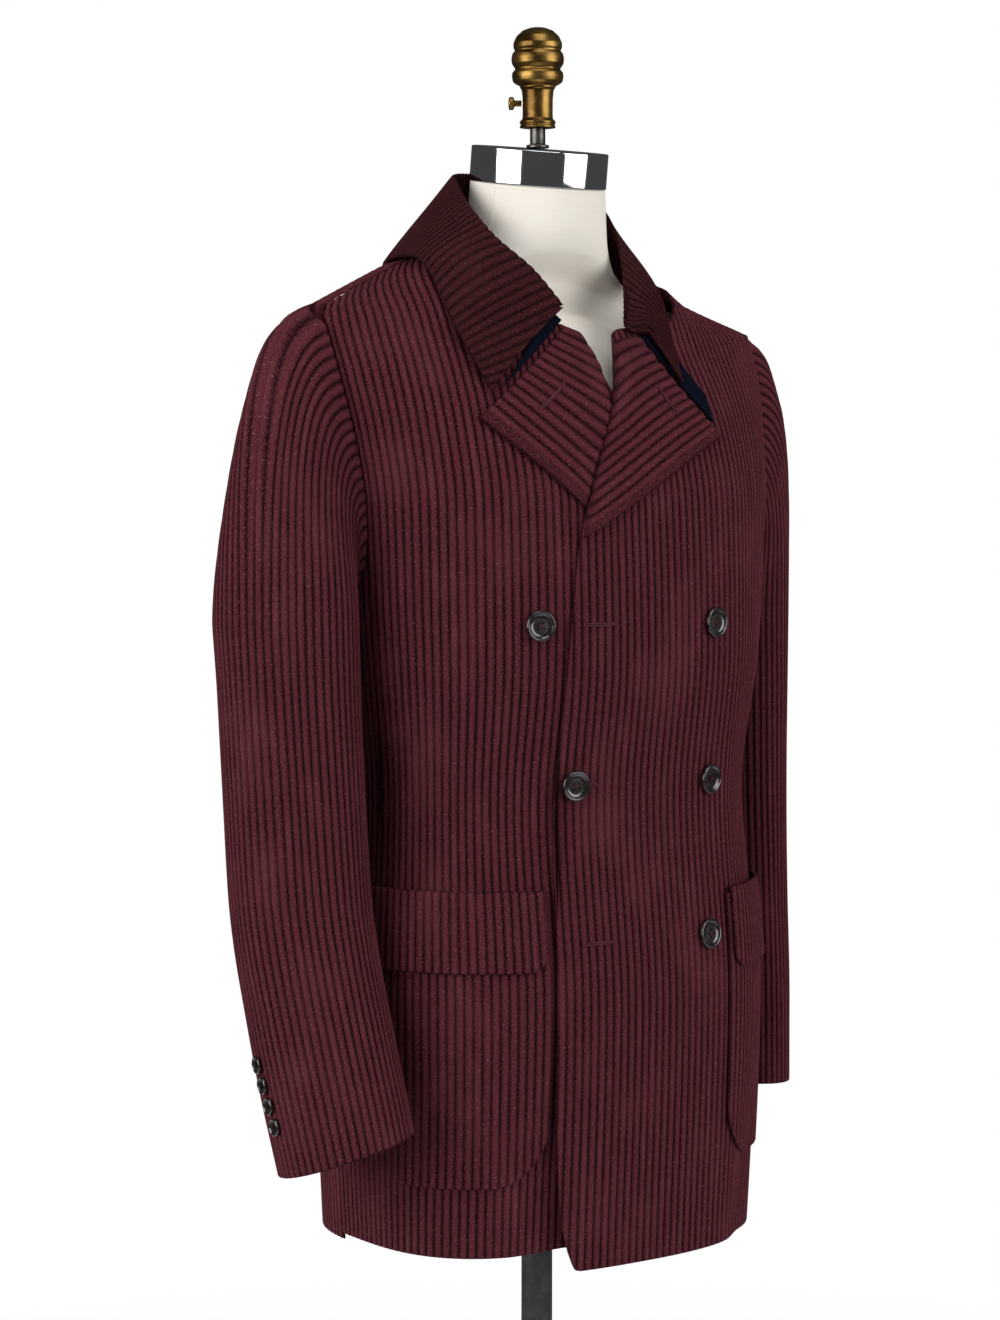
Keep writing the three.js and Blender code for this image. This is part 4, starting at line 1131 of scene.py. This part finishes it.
def tube(path, radii, sides=6, closed=False):
    path = np.asarray(path, float)
    radii = np.broadcast_to(np.asarray(radii, float), (len(path),))
    if closed:
        way = np.roll(path, -1, axis=0) - np.roll(path, 1, axis=0)
    else:
        way = np.gradient(path, axis=0)
    way /= np.linalg.norm(way, axis=1, keepdims=True)
    normal = np.cross(way[0], [0.3, 0.5, 0.81])
    rows = []
    for point, along, radius in zip(path, way, radii):
        normal = normal - along * np.dot(normal, along)
        normal /= np.linalg.norm(normal)
        other = np.cross(along, normal)
        angle = np.linspace(0, 2 * math.pi, sides, endpoint=False)[:, None]
        rows.append(point + radius * (np.cos(angle) * normal + np.sin(angle) * other))
    points = np.vstack(rows)
    faces = []
    for j in range(len(path) if closed else len(path) - 1):
        k = (j + 1) % len(path)
        for i in range(sides):
            m = (i + 1) % sides
            faces.append([j * sides + i, j * sides + m, k * sides + m, k * sides + i])
    if not closed:
        faces.append(list(range(sides))[::-1])
        faces.append([(len(path) - 1) * sides + i for i in range(sides)])
    return points, faces


# Buttons: polished, dished, with a rounded rim, four holes and a crossed thread
buttonSizes = {
    "seatGap": 0.35,
    "front": {"radius": 12.5, "thickness": 4.3, "rim": 4.0, "dish": 2.7, "holeRing": 2.5,
              "hole": 1.05, "segments": 64},
    "cuff": {"radius": 7.5, "thickness": 3.2, "rim": 2.4, "dish": 2.1, "holeRing": 1.7,
             "hole": 0.75, "segments": 48},
}


def buttonShape(size, turn):
    radius, thick, rim, dish = size["radius"], size["thickness"], size["rim"], size["dish"]
    profile = rounded([
        (0.01, 0), (radius - 1.6, 0), (radius - 0.1, thick * 0.45), (radius - 0.5, thick * 0.86),
        (radius - 1.3, thick), (radius - rim * 0.55, thick * 0.97), (radius - rim, dish + 0.15),
        (radius - rim - 1.6, dish - 0.25), (0.01, dish),
    ], 1.0)
    body = closeRings(turnedRings(profile, size["segments"]))
    wells, threads = [], []
    centres = [turn + math.pi / 4 + k * math.pi / 2 for k in range(4)]
    for angle in centres:
        well = turnedRings(rounded([(0.01, -0.3), (size["hole"], -0.3), (size["hole"] + 0.12, 0.16),
                                    (size["hole"] * 0.8, 0.14), (size["hole"] * 0.72, -0.1),
                                    (0.01, -0.12)], 0.1, 2), 16)
        offset = np.array([math.cos(angle), math.sin(angle), 0]) * size["holeRing"]
        points, faces = closeRings(well)
        wells.append((points + offset + np.array([0, 0, dish]), faces))
    for k in (0, 1):
        a, b = centres[k], centres[k] + math.pi
        start = np.array([math.cos(a), math.sin(a), 0]) * size["holeRing"]
        end = np.array([math.cos(b), math.sin(b), 0]) * size["holeRing"]
        t = np.linspace(0, 1, 9)[:, None]
        hump = np.sin(np.pi * t) * (0.35 + 0.3 * k) + dish - 0.05
        path = mix(start, end, t) * [1, 1, 0] + hump * [0, 0, 1]
        threads.append(tube(path, size["hole"] * 0.42))
    return body, joined(wells), joined(threads)


def addButton(node, size, place, normal, turn, thread):
    body, wells, threads = buttonShape(size, turn)
    points, faces = joined([body, wells, threads])
    axes = frameOn(normal)
    points = points @ axes + place + axes[2] * buttonSizes["seatGap"]
    stitches = len(threads[1])
    # the four hole wells wear the painted shadow finish
    makePiece(f"{node}_polished", points, faces, darkHorn, [node], "button_horn",
              more=[(slitShadow, len(wells[1]) + stitches), (thread, stitches)])


def settledPlace(place, normal):
    # a point and its direction after the shoulder has settled
    moved = settled(np.array([place, place + normal * 5]))
    way = moved[1] - moved[0]
    return moved[0], way / np.linalg.norm(way)


frontButtons = [
    {"node": "button_fastened", "side": 1, "arc": -62, "z": 780, "turn": 0.12},
    {"node": "button_left_top", "side": 1, "arc": 70, "z": 905, "turn": 0.5},
    {"node": "button_left_middle", "side": 1, "arc": 75, "z": 777, "turn": 0.3},
    {"node": "button_left_low", "side": 1, "arc": 65, "z": 651, "turn": 0.75},
    {"node": "button_right_top", "side": -1, "arc": 97, "z": 907, "turn": 0.2},
]
for row in frontButtons:
    side, arc, z = row["side"], np.array(row["arc"]), np.array(row["z"])
    place = onBody("front", side, arc, z, overLift(side, arc) + clothHeight)
    place, normal = settledPlace(place, bodyNormal("front", side, arc, z))
    addButton(row["node"], buttonSizes["front"], place, normal, row["turn"], wineThread)

cuffButtons = {"spacing": 15.4,
               "right": {"z": 559, "turn": 226, "lean": -2.8},
               "left": {"z": 556, "turn": 224, "lean": 0}}
for side, word in words.items():
    row = cuffButtons[word]
    height, slope, rise = sleeveSizes["cuffs"][word]
    for i in range(4):
        turn = math.radians(row["turn"] + row["lean"] * i)
        z = row["z"] - i * cuffButtons["spacing"]
        cuff = height + slope * math.sin(turn) + rise * math.cos(turn)
        bicep, share = sleeveSizes["bicepHeight"], sleeveSizes["headShare"]
        at = share + (1 - share) * (bicep - z) / (bicep - cuff)
        normal = sleeveNormal(side, np.array(turn), np.array(at))
        place = sleevePoint(side, turn, at) + normal * clothHeight
        place, normal = settledPlace(place, normal)
        addButton(f"button_cuff_{word}_{i + 1}", buttonSizes["cuff"], place, normal,
                  0.3 * i, blackThread)
print("buttons made")

# Buttonholes: a painted shadow in the slit between two worked edges, with a bar at its inner end
buttonholeSizes = {"width": 1.5, "thread": 0.62, "lift": 0.25, "perLength": 5.2, "barSteps": 13,
                   "slitSteps": 31}
frontHoles = [
    {"name": "buttonhole_top", "arc": -47, "z": 907, "length": 27},
    {"name": "buttonhole_middle", "arc": -54, "z": 780, "length": 24},
    {"name": "buttonhole_low", "arc": -47, "z": 653, "length": 27},
]


def buttonhole(name, surface, length):
    # surface(x, y, lift) places a point x along the slit and y across it
    half, width = length / 2, buttonholeSizes["width"] / 2
    thread = buttonholeSizes["thread"]
    stitches = int(length * buttonholeSizes["perLength"]) * 2
    t = np.linspace(0, 1, stitches, endpoint=False)
    loop = np.stack([half * np.cos(2 * math.pi * t), np.sin(2 * math.pi * t)], axis=1)
    loop[:, 0] = np.sign(loop[:, 0]) * half * np.abs(loop[:, 0] / half) ** 0.55
    loop[:, 1] = np.sign(loop[:, 1]) * width * np.abs(loop[:, 1]) ** 0.35
    swell = 1 + 0.28 * np.cos(np.arange(stitches) * math.pi)
    path = surface(loop[:, 0], loop[:, 1], buttonholeSizes["lift"] + 0.2 * swell)
    worked = tube(path, thread * swell, closed=True)
    count = buttonholeSizes["barSteps"]
    bar = np.linspace(-1.9, 1.9, count)
    barPath = surface(np.full(count, -half - 0.4), bar * width * 1.1, np.full(count, 0.55))
    count = buttonholeSizes["slitSteps"]
    xs = np.linspace(-half * 0.96, half * 0.96, count)
    lens = width * 0.75 * (1 - (xs / half) ** 4)
    edges = np.concatenate([surface(xs, way * lens, np.full(count, 0.2)) for way in (-1, 1)])
    slit = [[i, i + 1, count + i + 1, count + i] for i in range(count - 1)]
    points, faces = joined([worked, tube(barPath, thread), (edges, slit)])
    makePiece(name, settled(points), faces, wineThread, None, "corduroy",
              more=[(slitShadow, len(slit))])


for hole in frontHoles:
    def surface(x, y, lift):
        arc = hole["arc"] + x
        return onBody("front", 1, arc, hole["z"] + y, lift + clothHeight + overLift(1, arc))

    buttonhole(hole["name"], surface, hole["length"])

lapelHoles = [
    {"name": "buttonhole_lapel_right", "row": 0, "u": 0.42, "v": 0.36, "du": 0.62, "dv": 0.2,
     "length": 24},
    {"name": "buttonhole_lapel_left", "row": 1, "u": 0.47, "v": 0.25, "du": 0.62, "dv": 0.2,
     "length": 24},
]
for hole in lapelHoles:
    row = lapelRows[hole["row"]]
    across, depth = lapelSizes["across"], lapelSizes["holeDepth"]
    way = np.array([hole["du"] * across, hole["dv"] * depth])
    way /= np.linalg.norm(way)

    def surface(x, y, lift):
        u = hole["u"] + (x * way[0] - y * way[1]) / across
        v = hole["v"] + (x * way[1] + y * way[0]) / depth
        return lapelPoint(row, u, v, lift + lapelSizes["thickness"] + lapelSizes["ribs"])

    buttonhole(hole["name"], surface, hole["length"])
print("buttonholes made")

# The dress form: linen over padding, with a seam down each side of the neck
formSizes = {"neckTilt": math.radians(7), "foot": 455, "neckTop": 1261, "segments": 128,
             "seamFoot": 1196, "seamTop": 1259, "seamSteps": 40}
neckTop = formSizes["neckTop"]
formRings = {
    "z": [455, 610, 765, 880, 1000, 1060, 1110, 1150, 1158, 1180, 1197, 1206, 1226, 1261],
    "half": [146, 172, 161, 175, 184, 188, 193, 194, 195.6, 151.2, 92, 71, 60, 56],
    "front": [112, 130, 118, 130, 124, 106, 82, 48, 31, 30, 42, 48, 53, 55],
    "back": [122, 130, 117, 134, 138, 128, 104, 62, 43, 40, 50, 56, 56, 55],
}


def formSurface(z, angle):
    half, front, back = (readTable(formRings["z"], formRings[key], z)
                         for key in ("half", "front", "back"))
    rounding = smooth((z - 1180) / 60)
    power = 2 / mix(bodySizes["squareness"], 2, rounding)
    across, along = np.cos(angle), np.sin(angle)
    depth = np.where(along < 0, front, back)
    x = half * np.sign(across) * np.abs(across) ** power
    y = depth * np.sign(along) * np.abs(along) ** power
    setBack = bodySizes["ridgeSetBack"] * smooth((z - 1000) / 150) * (1 - rounding)
    y = y + setBack * (1 - (y / depth) ** 2)
    tilt = y * math.tan(formSizes["neckTilt"]) * smooth((z - 1226) / (neckTop - 1226))
    return np.stack([x, y, z + tilt], axis=-1)


heights = np.concatenate([np.linspace(formSizes["foot"], 1150, 50),
                          np.linspace(1152, neckTop, 60)])
angles = np.linspace(0, 2 * math.pi, formSizes["segments"], endpoint=False)
skin = formSurface(heights[:, None], angles[None, :])
skin = mix(settled(skin), skin, smooth((skin[..., 2:] - 1228) / 26))
points, faces = closeRings(skin)
ringLength = np.array([np.linalg.norm(np.diff(r, axis=0), axis=1).sum() for r in skin])
lay = np.zeros((len(points), 3))
lay[:-2, 0] = (angles[None, :] / (2 * math.pi) * ringLength[:, None]).ravel() * mm
lay[:-2, 1] = np.broadcast_to(heights[:, None], skin.shape[:2]).ravel() * mm
makePiece("form_linen_cover", points, faces, formLinen, ["form_torso"], "form_linen",
          {"lay": ("FLOAT_VECTOR", lay)})

for number, angle in enumerate((-0.28, math.pi + 0.28), 1):
    count = formSizes["seamSteps"]
    z = np.linspace(formSizes["seamFoot"], formSizes["seamTop"], count)
    seam = settled(formSurface(z, np.full(count, angle)))
    outward = seam * [1, 1, 0]
    outward /= np.linalg.norm(outward, axis=1, keepdims=True)
    swell = 0.32 + 0.08 * np.cos(np.arange(count) * math.pi)
    points, faces = tube(seam + outward * 0.1, swell)
    lay = np.stack([0 * points[:, 0], points[:, 2], 0 * points[:, 0]], axis=1) * mm
    makePiece(f"neck_seam_{number}", points, faces, formLinen, None, "form_linen",
              {"lay": ("FLOAT_VECTOR", lay)})
print("form made")

# Cap, rod, finial and thumbscrew
topSizes = {"capRadius": 56.5, "capHeight": 29, "gap": 0.35, "rodRadius": 6.35, "rodTop": 1307.6,
            "finialFoot": 1308, "screwHeight": 1328, "screwReach": 13.25}
radius, height, tilt = topSizes["capRadius"], topSizes["capHeight"], formSizes["neckTilt"]
capProfile = rounded([(0.01, 0), (radius, 0), (radius, height), (0.01, height)], 1.3)
points, faces = closeRings(turnedRings(capProfile, 128))
turned = points.copy()
turned[:, 1] = points[:, 1] * math.cos(tilt) - points[:, 2] * math.sin(tilt)
turned[:, 2] = points[:, 1] * math.sin(tilt) + points[:, 2] * math.cos(tilt)
makePiece("neck_cap_polished", turned + [0, 0, neckTop + topSizes["gap"]], faces, neckChrome,
          ["neck_cap"], "neck_chrome")

radius, top = topSizes["rodRadius"], topSizes["rodTop"]
foot = neckTop + height / math.cos(tilt) + radius * math.tan(tilt) + 0.6
rodProfile = [
    (0.01, foot), (9.4, foot), (9.4, foot + 2.2), (radius, foot + 3.0), (radius, top), (0.01, top),
]
addTurned("neck_rod_turned", rodProfile, 0.5, 48, rodSteel, "neck_rod", "rod_steel")

finialProfile = [
    (0.01, 0), (14.8, 0), (14.8, 1.4), (14.1, 2.0), (14.1, 3.0), (14.8, 3.6), (14.8, 5.2),
    (12.6, 7.4), (12.4, 12), (12.5, 24), (13.2, 31), (14.6, 32.6), (14.6, 34), (17.5, 35.4),
    (20.4, 37.4), (21.3, 41.5), (20.9, 45.2), (19.0, 47.0), (18.6, 48.2), (19.4, 49.4),
    (21.3, 52.2), (21.7, 56.6), (20.9, 60.6), (19.2, 62.2), (19.0, 63.4), (20.0, 65.2),
    (20.1, 69), (17.6, 74.6), (12.6, 79.2), (6.2, 81.6), (0.01, 82),
]
addTurned("finial_turned", finialProfile, 0.9, 96, antiqueBrass, "finial", "finial_brass",
          topSizes["finialFoot"])

screwWay = np.array([-0.809, 0.588, 0.0])
screwProfile = rounded([
    (0.01, 0), (2.5, 0), (2.5, 5.6), (3.4, 6.2), (5.2, 6.6), (5.4, 8.4), (5.2, 10.2), (3.0, 10.8),
    (0.01, 11),
], 0.5)
screwRings = turnedRings(screwProfile, 48)
knurl = 1 - 0.07 * (np.cos(np.arange(48) * math.pi / 2) > 0.5)
wide = (np.hypot(screwRings[..., 0], screwRings[..., 1]) > 4.4)
screwRings[..., :2] *= np.where(wide, knurl[None, :], 1)[..., None]
points, faces = closeRings(screwRings)
points = points @ frameOn(screwWay) + screwWay * topSizes["screwReach"]
points = points + np.array([0, 0, topSizes["screwHeight"]])
makePiece("thumbscrew_turned", points, faces, antiqueBrass, ["thumbscrew"], "finial_brass")
print("cap, rod and finial made")

# The stand: a pole on a round, weighted base
baseProfile = [
    (0.01, 0), (198, 0), (204, 2.5), (205, 7), (202.5, 11), (196, 13), (192, 16.6), (150, 20.4),
    (90, 24.2), (56, 27.4), (50, 31), (30, 34.5), (25, 39), (24, 43.5), (20, 44), (0.01, 44),
]
addTurned("stand_base_cast", baseProfile, 3, 128, enamelledIron, "stand_base", "stand_iron")
poleProfile = [
    (0.01, 44.4), (19, 44.4), (19, 62), (17, 66), (13, 67), (13, 436), (21, 440), (21, 454.4),
    (0.01, 454.4),
]
addTurned("stand_pole_turned", poleProfile, 1.2, 64, enamelledIron, "stand_pole", "stand_iron")
print("stand made")

# A pale floor that melts into the pale studio, so no edge shows
floorSizes = {"radius": 4200, "rings": 24, "segments": 96, "height": -0.5, "solid": 0.2,
              "clear": 1.5, "cover": 0.9}
steps = np.linspace(0, floorSizes["radius"], floorSizes["rings"])
floorRings = turnedRings([(max(r, 0.01), floorSizes["height"]) for r in steps],
                         floorSizes["segments"])
count, segments = floorRings.shape[:2]
faces = [[j * segments + i, j * segments + (i + 1) % segments,
          (j + 1) * segments + (i + 1) % segments, (j + 1) * segments + i]
         for j in range(count - 1) for i in range(segments)]
floorMesh = bpy.data.meshes.new("studio_floor")
floorMesh.from_pydata((floorRings.reshape(-1, 3) * mm).tolist(), [], faces)
floor = bpy.data.objects.new("studio_floor", floorMesh)
bpy.context.scene.collection.objects.link(floor)
floorFinish = Finish("paleFloor", {"Specular IOR Level": 0.05, "Emission Strength": 0.35,
                                   "Emission Color": tone("ffffff")})
floorPlace = floorFinish.place()
distance = floorFinish.node("ShaderNodeVectorMath", {"operation": "LENGTH"}, {0: floorPlace}, 1)
away = floorFinish.node("ShaderNodeMapRange", {"interpolation_type": "SMOOTHSTEP"},
                        {"Value": distance, "From Min": floorSizes["solid"],
                         "From Max": floorSizes["clear"], "To Min": floorSizes["cover"],
                         "To Max": 0.0})
grit = floorFinish.noise(floorPlace, 60.0, 3.0)
floorFinish.show("Base Color", floorFinish.blend(grit, tone("efefef"), tone("f6f6f6")))
floorFinish.show("Roughness", 0.75 + grit * 0.1)
floorFinish.show("Alpha", away)
floorMesh.materials.append(floorFinish.material)
floor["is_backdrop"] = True

# Plain soft studio light: a white room behind, dimmer towards the coat, and large soft lamps
world = bpy.data.worlds.new("whiteRoom")
bpy.context.scene.world = world
world.use_nodes = True
roomTree = world.node_tree
white = (1, 1, 1, 1)
room = roomTree.nodes["Background"]
room.inputs["Color"].default_value = white
room.inputs["Strength"].default_value = 0.26
rays = roomTree.nodes.new("ShaderNodeLightPath")
shown = room
for ray, strength in (("Is Glossy Ray", 0.06), ("Is Camera Ray", 1.0)):
    other = roomTree.nodes.new("ShaderNodeBackground")
    other.inputs["Color"].default_value = white
    other.inputs["Strength"].default_value = strength
    mixed = roomTree.nodes.new("ShaderNodeMixShader")
    for number, output in enumerate((rays.outputs[ray], shown.outputs[0], other.outputs[0])):
        roomTree.links.new(output, mixed.inputs[number])
    shown = mixed
roomTree.links.new(shown.outputs[0], roomTree.nodes["World Output"].inputs["Surface"])

lampAim = Vector((0, 0, 1.2))
lamps = [
    {"name": "keyBox", "azimuth": -89, "height": 1.6, "distance": 3.0, "wide": 2.5, "tall": 2.3,
     "power": 74},
    {"name": "fillBox", "azimuth": 28, "height": 1.6, "distance": 3.0, "wide": 2.4, "tall": 2.3,
     "power": 54},
    {"name": "topBox", "azimuth": -20, "height": 3.4, "distance": 1.0, "wide": 1.6, "tall": 1.6,
     "power": 18},
]
for lamp in lamps:
    light = bpy.data.lights.new(lamp["name"], "AREA")
    light.shape = "RECTANGLE"
    light.size = lamp["wide"]
    light.size_y = lamp["tall"]
    light.energy = lamp["power"]
    thing = bpy.data.objects.new(lamp["name"], light)
    bpy.context.scene.collection.objects.link(thing)
    angle = math.radians(lamp["azimuth"])
    thing.location = (math.sin(angle) * lamp["distance"], -math.cos(angle) * lamp["distance"],
                      lamp["height"])
    aim = lampAim - thing.location
    thing.rotation_euler = aim.to_track_quat("-Z", "Y").to_euler()

# The camera stands on the wearer's right, a little above the middle of the coat
cameraSizes = {"azimuth": -36, "distance": 2.8, "height": 1.06, "pitch": 3.9, "side": -0.031,
               "lens": 92.0}
angle = math.radians(cameraSizes["azimuth"])
camera = bpy.data.objects.new("camera", bpy.data.cameras.new("camera"))
bpy.context.scene.collection.objects.link(camera)
rightWay = Vector((math.cos(angle), math.sin(angle), 0))
backWay = Vector((math.sin(angle), -math.cos(angle), 0))
camera.location = backWay * cameraSizes["distance"] + rightWay * cameraSizes["side"]
camera.location.z = cameraSizes["height"]
pitch = math.radians(cameraSizes["pitch"])
look = -backWay * math.cos(pitch) - Vector((0, 0, math.sin(pitch)))
camera.rotation_euler = look.to_track_quat("-Z", "Y").to_euler()
camera.data.lens = cameraSizes["lens"]
camera.data.sensor_width = 36
camera.data.clip_start, camera.data.clip_end = 0.05, 60
bpy.context.scene.camera = camera
bpy.context.scene.view_settings.view_transform = "Standard"
print("camera, light and floor made")

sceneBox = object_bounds()
sizes = {"cad": [list(corner) for corner in cadBox], "scene": [list(corner) for corner in sceneBox]}
for label, corners in sizes.items():
    print(label, [[round(number, 4) for number in corner] for corner in corners])
triangles = sum(len(p.vertices) - 2 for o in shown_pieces() if o.type == "MESH" and not o.hide_render
                for p in o.data.polygons)
print("triangles shown:", triangles)
